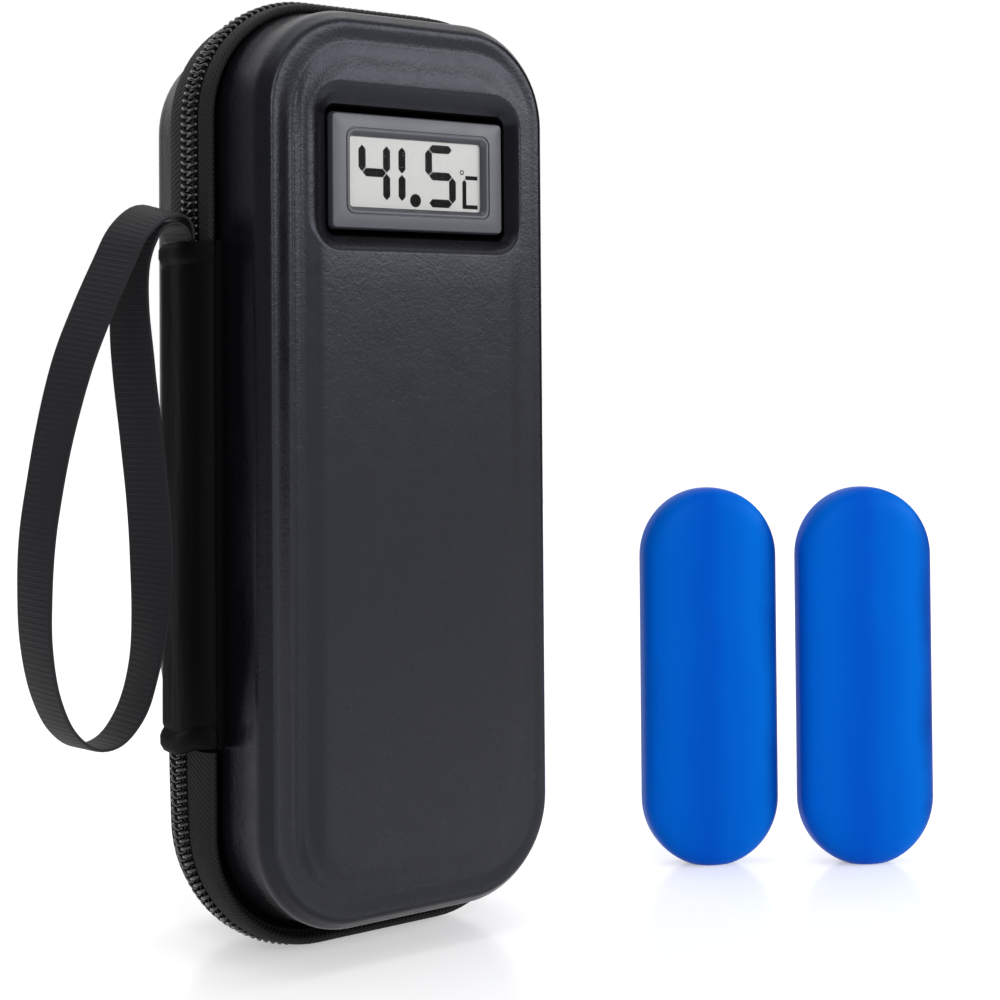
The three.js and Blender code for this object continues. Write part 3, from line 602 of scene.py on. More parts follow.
def repeat_tree():
    """Geometry Nodes: one piece repeated at a pitch along a path, its X along it and its Z outwards."""
    tree = bpy.data.node_groups.new("repeat along a path", "GeometryNodeTree")
    for name, kind in (
        ("Path", "Geometry"), ("Piece", "Object"), ("Pitch", "Float"), ("Finish", "Material"),
    ):
        tree.interface.new_socket(name, in_out="INPUT", socket_type=f"NodeSocket{kind}")
    tree.interface.new_socket("Pieces", in_out="OUTPUT", socket_type="NodeSocketGeometry")
    given = add_node(tree, "NodeGroupInput").outputs
    curve = add_node(tree, "GeometryNodeMeshToCurve", {"Mesh": given["Path"]})
    even = add_node(tree, "GeometryNodeResampleCurve", {
        "mode": "LENGTH", "Curve": curve, "Length": given["Pitch"],
    })
    outwards = add_node(tree, "GeometryNodeInputNamedAttribute", {"data_type": "FLOAT_VECTOR", "Name": "out"})
    lifted = add_node(tree, "FunctionNodeAlignRotationToVector", {
        "axis": "Z", "Vector": outwards.outputs["Attribute"],
    })
    turned = add_node(tree, "FunctionNodeAlignRotationToVector", {
        "axis": "X", "pivot_axis": "Z", "Rotation": lifted,
        "Vector": add_node(tree, "GeometryNodeInputTangent"),
    })
    piece = add_node(tree, "GeometryNodeObjectInfo", {"Object": given["Piece"]}).outputs["Geometry"]
    placed = add_node(tree, "GeometryNodeInstanceOnPoints", {
        "Points": even, "Instance": piece, "Rotation": turned,
    })
    real = add_node(tree, "GeometryNodeRealizeInstances", {"Geometry": placed})
    finished = add_node(tree, "GeometryNodeSetMaterial", {"Geometry": real, "Material": given["Finish"]})
    add_node(tree, "NodeGroupOutput", {"Pieces": finished})
    return tree


repeat_along = repeat_tree()


def repeated(name, paths, piece, pitch, finish):
    """The piece repeated along paths, each a list of (point, outward direction), as one plain mesh."""
    points, edges, outs = [], [], []
    for path in paths:
        edges += [(len(points) + i, len(points) + i + 1) for i in range(len(path) - 1)]
        points += [p for p, _ in path]
        outs += [c for _, out in path for c in out]
    route = bpy.data.meshes.new(name)
    route.from_pydata(points, edges, [])
    route.attributes.new("out", "FLOAT_VECTOR", "POINT").data.foreach_set("vector", outs)
    made = put(bpy.data.objects.new(name, route))
    modifier = made.modifiers.new("repeat", "NODES")
    modifier.node_group = repeat_along
    values = {"Piece": piece, "Pitch": pitch, "Finish": finish}
    for item in repeat_along.interface.items_tree:
        if item.in_out == "INPUT" and item.name in values:
            modifier[item.identifier] = values[item.name]
    bpy.context.view_layer.update()
    evaluated = made.evaluated_get(bpy.context.evaluated_depsgraph_get())
    plain = bpy.data.meshes.new_from_object(evaluated)
    made.modifiers.remove(modifier)
    made.data = plain
    plain.name = name
    bpy.data.objects.remove(piece)
    return made


# Monofilament is smooth, clear-edged nylon dyed black: a bright narrow gloss on each turn
monofilament, shader = start_finish("nylon monofilament, black", 0x121213, 0.26, 1.53)
vary_gloss(shader, mottle(shader, 0.004, 4), 0.18, 0.36)
sewing_thread, shader = start_finish("polyester sewing thread, black", 0x161617, 0.55, level=0.3)
vary_height(shader, stripes(shader, 0.0006, "DIAGONAL"), 0.6, 0.00005)


def zip_path(inset, level, start):
    """The zip's run as a path at an inset and a distance from the seam, shifted along by start."""
    path = [
        (p - out * (inset - bow_out * bow) + Vector((0, level + bow_back * bow, 0)), out)
        for p, out, bow in zip_stations()
    ]
    for end in (0, -1):
        path[end] = (path[end][0] - Vector((0, 0, start)), path[end][1])
    return path


def stitch(name, end, bend, heights, radius):
    """One stitch: it comes up at one end, lies along X and goes down at the other. Its heights are those of
    its ends, its bends and its middle."""
    dip, low, high = heights
    return swept_tube(
        name, [(-end, 0, dip), (-bend, 0, low), (0, 0, high), (bend, 0, low), (end, 0, dip)],
        radius, 6, sewing_thread,
    )


# One turn, from the tape's side over the top to the head on the seam and back under:
# (share of the pitch along, metres from the seam, metres outwards)
coil_turn = [
    (-0.30, 0.00255, -0.0008), (-0.30, 0.00295, -0.00055), (-0.28, 0.003, -0.0001), (-0.22, 0.00275, 0.00018),
    (-0.1, 0.0021, 0.00036), (0.04, 0.0013, 0.00046), (0.14, 0.0006, 0.00044), (0.2, 0.0001, 0.00018),
    (0.2, -0.00005, -0.00025), (0.2, 0.0003, -0.00065), (0.2, 0.001, -0.0008),
]
for half, side in (("base", 1), ("lid", -1)):
    turn = swept_tube(
        "coil turn", [(along * coil_pitch, -side * level, lift) for along, level, lift in coil_turn],
        coil_wire, 8, monofilament,
    )
    start = coil_pitch / 2 if side > 0 else 0
    coil = repeated(
        f"{half}_zip_coil_turns", [zip_path(coil_inset, -coil_offset, start)], turn, coil_pitch, monofilament,
    )
    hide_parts(f"{half}_zip_coil")
    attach(coil, half)

    loop = stitch("coil stitch", 0.4 * coil_pitch, 0.2 * coil_pitch, (-0.0002, 0.00008, 0.00014), 0.00019)
    sewn = repeated(
        f"{half}_coil_thread", [zip_path(0.0009, side * 0.0022 - coil_offset, start + coil_pitch / 2)],
        loop, coil_pitch, sewing_thread,
    )
    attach(sewn, half)


# Pen board and its elastic bands: stiff card covered in black cloth, with two woven elastic bands sewn
# across it between the loops, so that each loop grips a pen.
def woven(name, colour, roughness, pitch, height):
    """A plain-woven cloth material, its threads a pitch apart in metres."""
    material, shader = start_finish(name, colour, roughness)
    warp, weft = [stripes(shader, pitch, axis, 0.8, 3) for axis in "XZ"]
    cross = add_node(shader.id_data, "ShaderNodeMath", {"operation": "MULTIPLY", 0: warp, 1: weft})
    vary_colour(shader, cross, 0.7, 1.3)
    vary_height(shader, cross, 0.7, height)
    return material


board_cloth = woven("polyester lining cloth over card, charcoal", 0x2C2D30, 0.85, 0.0005, 0.00008)
board_low, board_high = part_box("pen_board")
board_corner, board_edge = 0.0121, 0.0008
board_middle, board_size = (board_low + board_high) / 2, board_high - board_low
rounding = [
    (board_edge * (1 - math.sin(share * math.pi / 2)), board_edge * (1 - math.cos(share * math.pi / 2)))
    for share in (0, 0.3, 0.7, 1)
]
pen_board = loft("pen_board_cloth", [
    rounded_ring(
        board_size.x - 2 * inset, board_size.z - 2 * inset, board_corner - inset,
        board_middle.x, board_middle.z, y - seam_y, 1,
    ) for inset, y in [
        *[(inset, board_low.y + rise) for inset, rise in rounding],
        *[(inset, board_high.y - rise) for inset, rise in reversed(rounding)],
    ]
], board_cloth)
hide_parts("pen_board")
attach(pen_board, "base")

loop_radius, loop_leg, loop_pitch, loop_count = 0.008, 0.0024, 0.019, 3
band_thickness, band_foot = 0.0009, 0.0018
elastic = woven("woven elastic, black", 0x202022, 0.78, 0.0008, 0.00012)


def band_line():
    """The band's middle line seen from above: flat feet, and a loop standing up for each pen."""
    half = band_thickness / 2
    sewn = board_low.y - part_gap - half
    radius = loop_radius + half
    reach = loop_pitch * (loop_count - 1) / 2
    line = [Vector((-reach - radius - band_foot - half, sewn))]
    for k in range(loop_count):
        x = -reach + k * loop_pitch
        line.append(Vector((x - radius, sewn - half)))
        line += [
            Vector((x + radius * math.cos(a), sewn - loop_leg - half + radius * math.sin(a)))
            for a in (math.pi * (1 + i / 16) for i in range(17))
        ]
        line.append(Vector((x + radius, sewn - half)))
    line.append(Vector((reach + radius + band_foot + half, sewn)))
    return line


def thick_line(line, thickness):
    """A closed ring of 2-D points round a line, half the thickness to either side of it."""
    squares = [Vector((-way.y, way.x)) * thickness / 2 for way in ways(line)]
    near = [point + square for point, square in zip(line, squares)]
    far = [point - square for point, square in zip(line, squares)]
    return near + far[::-1]


for place_name in ("upper", "lower"):
    band_low, band_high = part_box(f"pen_band_{place_name}")
    section = thick_line(band_line(), band_thickness)
    band = loft(f"pen_band_{place_name}_elastic", [
        [Vector((p.x, p.y, band_low.z + share * (band_high.z - band_low.z))) for p in section]
        for share in (0, 0.02, 0.98, 1)
    ], elastic)
    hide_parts(f"pen_band_{place_name}")
    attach(band, "base")
    loop = stitch("band stitch", 0.0011, 0.0006, (-0.0003, 0.0001, 0.00018), 0.00024)
    reach = loop_pitch * loop_count / 2 + band_foot / 2
    surface = board_low.y - part_gap - band_thickness
    sewn = repeated(f"pen_band_{place_name}_stitches", [
        [(Vector((x, surface, z)), Vector((0, -1, 0))) for z in (band_low.z + 0.002, band_high.z - 0.002)]
        for x in (-reach, -loop_pitch / 2, loop_pitch / 2, reach)
    ], loop, 0.0032, sewing_thread)
    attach(sewn, "base")


# Lid shell: the front half, pressed from the same laminate. Its face sinks softly round the thermometer to
# a thicker seat with the cut-out for the housing.
bezel_low, bezel_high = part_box("display_bezel")
display_x = (bezel_low.x + bezel_high.x) / 2
display_z = (bezel_low.z + bezel_high.z) / 2
display_front = seam_y - bezel_low.y
bezel_thickness = 0.0019
# Width, height and corner radius of the cut-out, and of the seat round it
cutout = 0.0432, 0.0226, 0.0015
seat = 0.057, 0.0376, 0.0085
lid_rise, lid_fall, lid_aside = 0.0014, -0.0015, 0.0012
lip_left, lip_right, lip_low, lip_high, lip_corner = -0.0270, 0.0304, 0.1526, 0.1895, 0.0080
lip = (
    lip_right - lip_left, lip_high - lip_low, lip_corner,
    (lip_left + lip_right) / 2, (lip_low + lip_high) / 2,
)
hidden_width, hidden_height = 0.0026, 0.004
front_width = bezel_high.x - bezel_low.x - hidden_width
front_height = bezel_high.z - bezel_low.z - hidden_height
seat_thickness, gap_depth = 0.003, 0.0022
seat_front = display_front - bezel_thickness - part_gap
seat_back = seat_front - seat_thickness
gap_floor = seat_front - gap_depth
gap_across, gap_upright, foot_corner = 0.0024, 0.0032, 0.002
slope_foot = display_front - 0.0010
# The rings from the cut-out to the slope's foot that get the matt black finish: painted shade in the gap
# round the bezel
cutout_edge_and_gap_shade_rings = 7


def beyond(x, z, width, height, corner, middle_x, middle_z):
    """How far a point lies outside a rounded rectangle; negative inside."""
    dx = abs(x - middle_x) - width / 2 + corner
    dz = abs(z - middle_z) - height / 2 + corner
    return math.hypot(max(dx, 0), max(dz, 0)) + min(max(dx, dz), 0) - corner


def display_ring(width, height, corner, depth):
    """A ring round the display's middle."""
    return rounded_ring(width, height, corner, display_x, display_z, depth, -1)


def bezel_ring(across, upwards, corner, depth):
    """A ring that lies outside the bezel's front face by half of across and half of upwards."""
    return display_ring(front_width + across, front_height + upwards, corner, depth)


def fading(x, z):
    """The lid's valley is deep along the hinge; it runs out towards the far side, the top and the bottom."""
    end_reach, end_share = 0.02, 0.8
    far_side = ease((x - 0.006) / 0.022)
    ends = ease((z - 0.176) / end_reach), ease((0.036 - z) / end_reach)
    return max(far_side, end_share * max(ends))


def lid_face_depth(x, z):
    """The lid face's distance from the seam: flat, lower at the plateau's edge, sunk round the display."""
    inset = -beyond(
        x, z, case_width, case_height + lid_rise + lid_fall, zip_corner,
        lid_aside, middle + (lid_rise - lid_fall) / 2,
    )
    drop = plateau_drop + (fading_drop - plateau_drop) * fading(x, z)
    edge = drop * (1 - ease((inset - plateau_inset) / (face_inset - plateau_inset)))
    from_foot = max(0, beyond(
        x, z, front_width + gap_across, front_height + gap_upright, foot_corner, display_x, display_z,
    ))
    from_lip = max(0, -beyond(x, z, *lip))
    share = from_foot / max(from_foot + from_lip, 1e-6)
    rising = 0.5 * ease(share) + 0.5 * math.sin(share * math.pi / 2)
    return lid_depth - edge - (lid_depth - slope_foot) * (1 - rising)


def lid_face():
    """Rings from the cut-out's edge through the gap round the bezel, over the recess to its lip, and on over
    the flat face to its edge."""
    inner = [
        display_ring(*cutout, seat_front),
        bezel_ring(0.0010, 0.0010, foot_corner, seat_front),
        bezel_ring(0.0012, 0.0012, foot_corner, gap_floor),
        bezel_ring(gap_across - 0.0001, gap_upright - 0.0001, foot_corner, gap_floor),
    ]
    foot = bezel_ring(gap_across, gap_upright, foot_corner, slope_foot)
    lip_ring = rounded_ring(*lip, 0, -1)
    edge = outline_ring(plateau_inset, 0, -1, lid_rise, lid_fall, lid_aside)
    slope_rings, face_shares = 22, (0.06, 0.2, 0.4, 0.6, 0.78, 0.88, 0.93, 0.96, 0.98, 0.992)
    rings = [[a.lerp(b, i / slope_rings) for a, b in zip(foot, lip_ring)] for i in range(slope_rings + 1)]
    rings += [[a.lerp(b, share) for a, b in zip(lip_ring, edge)] for share in face_shares]
    return inner + [[Vector((p.x, seam_y - lid_face_depth(p.x, p.z), p.z)) for p in ring] for ring in rings]


deep = shell_side(lid_depth, -1, lid_rise, lid_fall, lid_aside)
shallow = shell_side(lid_depth, -1, lid_rise, lid_fall, lid_aside, fading_drop, fading_drop)
lid_sides = [[a.lerp(b, fading(a.x, a.z)) for a, b in zip(*rings)] for rings in zip(deep, shallow)]
face_rings = lid_face()
lid_shell = loft("lid_shell_leather", [
    display_ring(*cutout, seat_back),
    *face_rings,
    *lid_sides,
    display_ring(*seat, lid_depth - shell_wall),
    display_ring(*seat, seat_back),
], leather, ends="joined")
# Painted shade: the cut-out's edge, the gap round the bezel and the foot of its slope are matt black
paint_cut_edge_and_shade(lid_shell, 0, cutout_edge_and_gap_shade_rings)
# Painted shade in the groove under the flange, on the foam's cut edge
paint_cut_edge_and_shade(lid_shell, *[1 + len(face_rings) + ring for ring in groove_cut_edge_and_shade_rings])
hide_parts("lid_shell")
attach(lid_shell, "lid")


# Lid lining: the same foam and film as in the base, heat-formed and glued along its edge, with a window cut
# out round the thermometer's seat.
window_margin = 0.0012
window = seat[0] + window_margin, seat[1] + window_margin, seat[2]
inner_back = lid_depth - shell_wall - part_gap
lid_lining = loft("lid_lining_film", [
    display_ring(*window, inner_back - lining_thickness),
    *lining_side(lid_depth, -1),
    display_ring(*window, inner_back),
], film, ends="joined")
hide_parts("lid_lining")
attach(lid_lining, "lid")


# Mesh pocket: warp-knitted net across the lower part of the lid, bound on three sides by a folded tape that
# is sewn into the rim, and on top by a gathered elastic binding.
pocket_low, pocket_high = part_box("lid_mesh_pocket")
pocket_corner = zip_corner - case_width / 2 + pocket_high.x
pocket_y = (pocket_low.y + pocket_high.y) / 2
net_pitch, net_thread = 0.0026, 0.00022
net_cloth = woven("warp-knitted polyester net, black", 0x26272A, 0.8, 0.0006, 0.00006)


def pocket_half_width(z):
    """Half the pocket's width at a height: full, but for its two rounded lower corners."""
    below = pocket_low.z + pocket_corner - z
    if below <= 0:
        return pocket_high.x
    return pocket_high.x - pocket_corner + math.sqrt(max(pocket_corner ** 2 - below ** 2, 0))


def net_rows():
    """Rows of net loops, each a whole count of pitches long."""
    rows = []
    row_step = net_pitch * math.sqrt(3) / 2
    for r in range(int((pocket_high.z - pocket_low.z) / row_step)):
        z = pocket_low.z + (r + 0.6) * row_step
        shift = net_pitch / 2 if r % 2 else 0
        count = int((pocket_half_width(z) - shift) / net_pitch)
        rows.append([
            (Vector((x, pocket_y, z)), Vector((0, -1, 0)))
            for x in (-count * net_pitch + shift, count * net_pitch - shift)
        ])
    return rows


net_radius = net_pitch / math.sqrt(3)
net_loop = loft("net loop", [
    [Vector((math.cos(a) * r, math.sin(a) * r, lift)) for r, lift in (
        (net_radius + net_thread / 2, 0), (net_radius, net_thread),
        (net_radius - net_thread, 0), (net_radius, -net_thread),
    )] for a in (math.pi / 6 + k * math.pi / 3 for k in range(6))
], net_cloth, ends="joined")
net = repeated("lid_mesh_pocket_net", net_rows(), net_loop, net_pitch, net_cloth)
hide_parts("lid_mesh_pocket")
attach(net, "lid")

edge_width, edge_thickness, edge_steps = 0.0036, 0.0009, 24
edge_line = [Vector((-pocket_high.x, pocket_y, pocket_high.z))]
for sign, start in ((-1, math.pi), (1, math.pi * 1.5)):
    edge_line += [Vector((
        sign * (pocket_high.x - pocket_corner) + pocket_corner * math.cos(angle), pocket_y,
        pocket_low.z + pocket_corner + pocket_corner * math.sin(angle),
    )) for angle in (start + i / edge_steps * math.pi / 2 for i in range(edge_steps + 1))]
edge_line.append(Vector((pocket_high.x, pocket_y, pocket_high.z)))
# The folded tape's section, as shares of its width and its thickness
edge_section = [
    (0, -1 / 3), (0.2, -0.5), (0.8, -0.5), (1, -0.25), (1, 0.25), (0.8, 0.5), (0.2, 0.5), (0, 1 / 3),
]
net_edge = loft("lid_mesh_pocket_edge", [[
    point + Vector((0, -1, 0)).cross(way) * edge_width * across + Vector((0, edge_thickness * lift, 0))
    for across, lift in edge_section
] for point, way in zip(edge_line, ways(edge_line))], elastic)
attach(net_edge, "lid")

gather_pitch, gather_depth = 0.0032, 0.00016
binding_steps = 164
binding_low, binding_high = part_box("pocket_binding")
binding_middle, binding_half = (binding_low + binding_high) / 2, (binding_high - binding_low) / 2


# The binding's section, as shares of its half thickness and half height: an oval drawn out to its corners
binding_section = [
    [math.copysign(abs(share) ** 0.5, share) for share in point]
    for point in oval(Vector((0, 0)), Vector((1, 0)), Vector((0, 1)), 16)
]
binding_rings = []
for i in range(binding_steps + 1):
    x = binding_low.x + i / binding_steps * (binding_high.x - binding_low.x)
    thick = binding_half.y - gather_depth + gather_depth * math.sin(2 * math.pi * x / gather_pitch)
    binding_rings.append([
        Vector((x, binding_middle.y + thick * out, binding_middle.z + binding_half.z * up))
        for out, up in binding_section
    ])
binding = loft("pocket_binding_elastic", binding_rings, elastic)
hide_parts("pocket_binding")
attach(binding, "lid")


# Thermometer bezel: ABS, injection moulded in dark grey-blue. Its steep sides stand in the narrow gap that
# the leather is pressed into round it; a raised frame with a fine groove round it slopes in to the display.
abs_plastic, shader = start_finish("moulded ABS, fine spark texture, grey-blue", 0x3F4149, 0.38, 1.53)
vary_gloss(shader, mottle(shader, 0.012), 0.3, 0.46)
vary_height(shader, mottle(shader, 0.0007, 4), 0.25, 0.00003)

front = front_width, front_height
frame_size = 0.0382, 0.0184
sight = 0.0354, 0.0154
body = 0.0426, 0.022
body_corner, body_wall = 0.0015, 0.0013
body_end = bezel_high.y - seam_y
# Rings of the bezel from the skirt's end round the front to the inside: (size, wider by, corner, depth under
# the front, which is below 0 for what stands out)
bezel_rings = [
    (body, 0, body_corner, bezel_thickness), (front, 0.0006, 0.0011, bezel_thickness),
    (front, 0.0008, 0.0012, bezel_thickness - 0.0002), (front, 0.0008, 0.0012, bezel_thickness - 0.0004),
    (front, 0.0003, 0.001, 0.0003), (front, 0, 0.0009, 0.00006), (front, -0.0003, 0.0008, 0),
    (frame_size, 0.0006, 0.0021, 0), (frame_size, 0.0004, 0.002, 0.00025),
    (frame_size, 0.0001, 0.0019, 0.00025), (frame_size, 0, 0.0018, -0.00002),
    (frame_size, -0.0003, 0.0017, -0.00012),
    (frame_size, -0.0010, 0.0015, -0.00012), (frame_size, -0.0013, 0.0014, -0.00002),
    (sight, 0.0003, 0.0009, 0.0010), (sight, 0, 0.0008, 0.0012), (sight, 0, 0.0008, body_wall),
    (body, -2 * body_wall, body_corner / 2, body_wall),
]
bezel = loft("display_bezel_moulding", [
    display_ring(*body, body_corner, abs(body_end)),
    *[display_ring(width + wider, height + wider, corner, display_front - under)
      for (width, height), wider, corner, under in bezel_rings],
    display_ring(body[0] - 2 * body_wall, body[1] - 2 * body_wall, body_corner / 2, abs(body_end)),
], abs_plastic, ends="joined")
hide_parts("display_bezel")
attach(bezel, "lid")


# Display: an acrylic window over a liquid-crystal panel. The panel is pale grey film on glass, and the
# reading is in dark segments under its front film.
def dress(material, *nodes):
    """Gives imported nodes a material."""
    for node in nodes:
        materials = bpy.data.objects[node].data.materials
        materials.clear()
        materials.append(material)


acrylic, shader = start_finish("clear acrylic, polished", 0x101214, 0.06, 1.49, level=0.2)
shader.inputs["Alpha"].default_value = 0.05
vary_gloss(shader, mottle(shader, 0.008, 3), 0.03, 0.1)
dress(acrylic, "display_window")
panel_film, shader = start_finish("liquid-crystal panel, pale grey polariser", 0xC4C4C1, 0.3)
vary_colour(shader, mottle(shader, 0.0016), 0.97, 1.03)
dress(panel_film, "liquid_crystal_panel")
segment_ink, shader = start_finish("liquid crystal, segment switched dark", 0x0A0A0B, 0.35, level=0.05)
vary_gloss(shader, mottle(shader, 0.003), 0.3, 0.42)

segment_lift = 0.00004
segment_width, unit_width = 0.00185, 0.0009
segment_gap = 0.00012
digit_low, digit_high = 0.0007, 0.0147
unit_low, unit_high = 0.0007, 0.0082
unit_left, unit_right = 0.0314, 0.0348
# Each digit: the left and right edge of its cell, and which of its segments show
digits = [
    (0.0025, 0.0108, ("upper left", "upper right", "middle", "lower right")),
    (0.0066, 0.0149, ("upper right", "lower right")),
    (0.0203, 0.0287, ("top", "upper left", "middle", "lower right", "bottom")),
]


def segment(x0, z0, x1, z1, width, ends=(1, 1)):
    """A bar between two points, with a bevelled point at each end whose share is 1 and a square end at 0."""
    a, b = Vector((x0, z0)), Vector((x1, z1))
    way = (b - a).normalized()
    square = Vector((-way.y, way.x)) * width / 2
    tip_a, tip_b = way * width / 2 * ends[0], way * width / 2 * ends[1]
    return [a, a + tip_a + square, b - tip_b + square, b, b - tip_b - square, a + tip_a - square]


def disc(x, z, radius):
    """A round dot."""
    return oval(Vector((x, z)), Vector((radius, 0)), Vector((0, radius)), 20)


def digit_shapes(left, right, shown):
    """The seven bars of a digit that are shown, as 2-D outlines."""
    half = segment_width / 2
    x0, x1 = left + half, right - half
    z0, z1 = digit_low + half, digit_high - half
    zm = (z0 + z1) / 2
    gap = segment_gap
    bars = {
        "top": (x0 + gap, z1, x1 - gap, z1),
        "middle": (x0 + gap, zm, x1 - gap, zm),
        "bottom": (x0 + gap, z0, x1 - gap, z0),
        "upper left": (x0, zm + gap, x0, z1 - gap),
        "upper right": (x1, zm + gap, x1, z1 - gap),
        "lower right": (x1, z0 + gap, x1, zm - gap),
    }
    return [segment(*bars[name], segment_width) for name in shown]


# The digits, the decimal point, and the bars of the unit's letter
shapes = [shape for digit in digits for shape in digit_shapes(*digit)]
unit_top, unit_bottom, unit_stem = unit_high - unit_width / 2, unit_low + unit_width / 2, 0.0311
shapes += [
    disc(0.0176, 0.0020, 0.00148),
    segment(unit_left, unit_top, unit_right, unit_top, unit_width, (0, 0)),
    segment(unit_stem, unit_low, unit_stem, unit_high - unit_width, unit_width * 1.2, (0, 1)),
    segment(unit_left, unit_bottom, unit_right, unit_bottom, unit_width, (0, 0)),
]
degree_outer, degree_inner = [disc(0.0304, 0.0089, radius) for radius in (0.00058, 0.00034)]

panel_corner = Vector((
    display_x - sight[0] / 2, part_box("liquid_crystal_panel")[0].y, display_z - sight[1] / 2,
))
points, faces = [], []


def add_band(first_edge, second_edge, second_lift):
    """Puts a band between two outlines on the panel, the first one raised."""
    first, count = len(points), len(first_edge)
    for outline, lift in ((first_edge, segment_lift), (second_edge, second_lift)):
        points.extend(panel_corner + Vector((p.x, -lift, p.y)) for p in outline)
    for i in range(count):
        j = (i + 1) % count
        faces.append((first + i, first + j, first + count + j, first + count + i))


for shape in shapes:
    faces.append(tuple(range(len(points), len(points) + len(shape))))
    add_band(shape, shape, 0)
add_band(degree_outer, degree_inner, segment_lift)
reading = piece_from("display_reading", points, faces, segment_ink)
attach(reading, "lid")


# Inside the thermometer: rubber connector strip and sensor, glass-fibre circuit board, spring-steel contacts,
# two button cells, and a moulded rear housing with its battery cover.
def moulded(name, colour, roughness, ior, metallic, grain, height):
    """A material with a fine grain of one size, as a mould or a roll leaves it."""
    material, shader = start_finish(name, colour, roughness, ior, metallic)
    fine = mottle(shader, grain, 4)
    vary_gloss(shader, fine, roughness * 0.85, roughness * 1.15)
    vary_height(shader, fine, 0.4, height)
    return material


for finish, *nodes in (
    (("moulded ABS, fine spark texture, dark grey", 0x2E3036, 0.45, 1.53, 0.0, 0.0005, 0.00003),
     "rear_housing", "battery_cover"),
    (("silicone rubber, moulded, dark", 0x3A3A3C, 0.6, 1.43, 0.0, 0.0008, 0.00002),
     "connector_strip", "temperature_sensor"),
    (("glass-fibre board, green solder mask", 0x1D5C33, 0.32, 1.52, 0.0, 0.0012, 0.00002), "circuit_board"),
    (("nickel-plated steel, drawn", 0xC3C4C6, 0.26, 1.5, 1.0, 0.0004, 0.00001),
     "button_cell_left", "button_cell_right"),
    (("spring steel, nickel plated", 0xB8B9BB, 0.3, 1.5, 1.0, 0.0006, 0.00001),
     "battery_contact_left", "battery_contact_right"),
):
    dress(moulded(*finish), *nodes)


# Fabric spine: black PU-coated cloth, sewn to the rim of each half, with a hem turned over at each end.
# It is one cloth; here it is two halves that meet on its middle line, because each bends at one fold.
spine_thickness = 0.0010
hem_height, hem_rise = 0.0042, 0.0006
# The cloth's outer face seen from above: (inset from the zip's outer edge, distance from the seam)
base_cloth = [
    (0.0043, 0.0080), (0.0040, 0.0091), (0.0030, 0.0099), (0.0014, 0.0101), (0.0001, 0.0097),
    (-0.0007, 0.0088), (-0.00105, 0.0075), (-0.0012, 0.0056), (-0.0013, 0.0036), (-0.00145, 0.0016),
    (-0.00155, 0.0),
]
lid_cloth = [
    (-0.00155, 0.0), (-0.0016, -0.0016), (-0.0015, -0.0034), (-0.0012, -0.0052), (-0.0007, -0.0069),
    (0.0, -0.0084), (0.0010, -0.0095), (0.0022, -0.0100), (0.0032, -0.0098), (0.0040, -0.0090),
    (0.0043, -0.0079),
]
lid_side_lift, lift_reach = 0.003, 0.05


def spine_bulge(level, z):
    """How far the cloth stands out at a place: its hems, the groove beside each, and soft creases."""
    from_end = min(z - spine_low.z, spine_high.z - z)
    hem = ease(from_end / 0.0012) * (1 - ease((from_end - hem_height + 0.0007) / 0.0008)) * hem_rise
    groove = -0.0004 * math.exp(-((from_end - hem_height - 0.0004) / 0.00045) ** 2)
    crease = 0.00020 * noise.noise(Vector((level * 190, z * 30, 0.7)))
    ripple = 0.00004 * noise.noise(Vector((level * 520, z * 120, 4.2)))
    return hem + groove + (crease + ripple) * ease(from_end / 0.006)


def spine_rings(cloth):
    """Rings of the cloth's section from the spine's lower end to its upper end."""
    line = smooth_through(cloth, 4)
    squares = []
    for point, way in zip(line, ways(line)):
        out = Vector((-way.y, way.x))
        squares.append(out if out.x < 0 or abs(out.x) < 0.3 and out.y * point.y > 0 else -out)
    # Where the two halves meet, both face straight out
    squares[0] = squares[1] if abs(cloth[0][1]) > 0.005 else Vector((-1, 0))
    squares[-1] = squares[-2] if abs(cloth[-1][1]) > 0.005 else Vector((-1, 0))
    hem_steps, step = (0, 0.0003, 0.0006, 0.0012), 0.0009
    near = [spine_low.z + h for h in hem_steps]
    far = [spine_high.z - h for h in reversed(hem_steps)]
    count = int((far[0] - near[-1]) / step)
    between = [near[-1] + (far[0] - near[-1]) * i / count for i in range(1, count)]
    rings = []
    for z in [*near, *between, *far]:
        outer, inner = [], []
        for point, out in zip(line, squares):
            lowest = 1 - ease((z - spine_low.z) / lift_reach)
            lifted = lid_side_lift * ease((0.002 - point.y) / 0.01) * lowest
            top = point + out * spine_bulge(point.y, z)
            for ring, p in ((outer, top), (inner, point - out * spine_thickness)):
                ring.append(Vector((-case_width / 2 + p.x, seam_y + p.y, z + lifted)))
        rings.append(outer + inner[::-1])
    return rings


# PU coating on a smooth cloth: dull, with long soft streaks of sheen
coated_cloth, shader = start_finish("PU-coated polyester cloth, black", 0x0D0D0E, 0.5, 1.42, level=0.03)
stretch = add_node(shader.id_data, "ShaderNodeMapping", {
    "Scale": (1, 1, 0.18), "Vector": add_node(shader.id_data, "ShaderNodeTexCoord").outputs["Object"],
})
streaks = mottle(shader, 0.003, 5, place=stretch)
vary_gloss(shader, streaks, 0.42, 0.6)
vary_height(shader, streaks, 0.3, 0.00008)

for half, cloth, sign in (("base", base_cloth, 1), ("lid", lid_cloth, -1)):
    piece = loft(f"spine_cloth_{half}_half", spine_rings(cloth), coated_cloth)
    if half == "base":
        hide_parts("hinge_spine", "hinge_flap_base", "hinge_hem_top")
    else:
        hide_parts("hinge_flap_lid", "hinge_hem_bottom")
    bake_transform(piece)


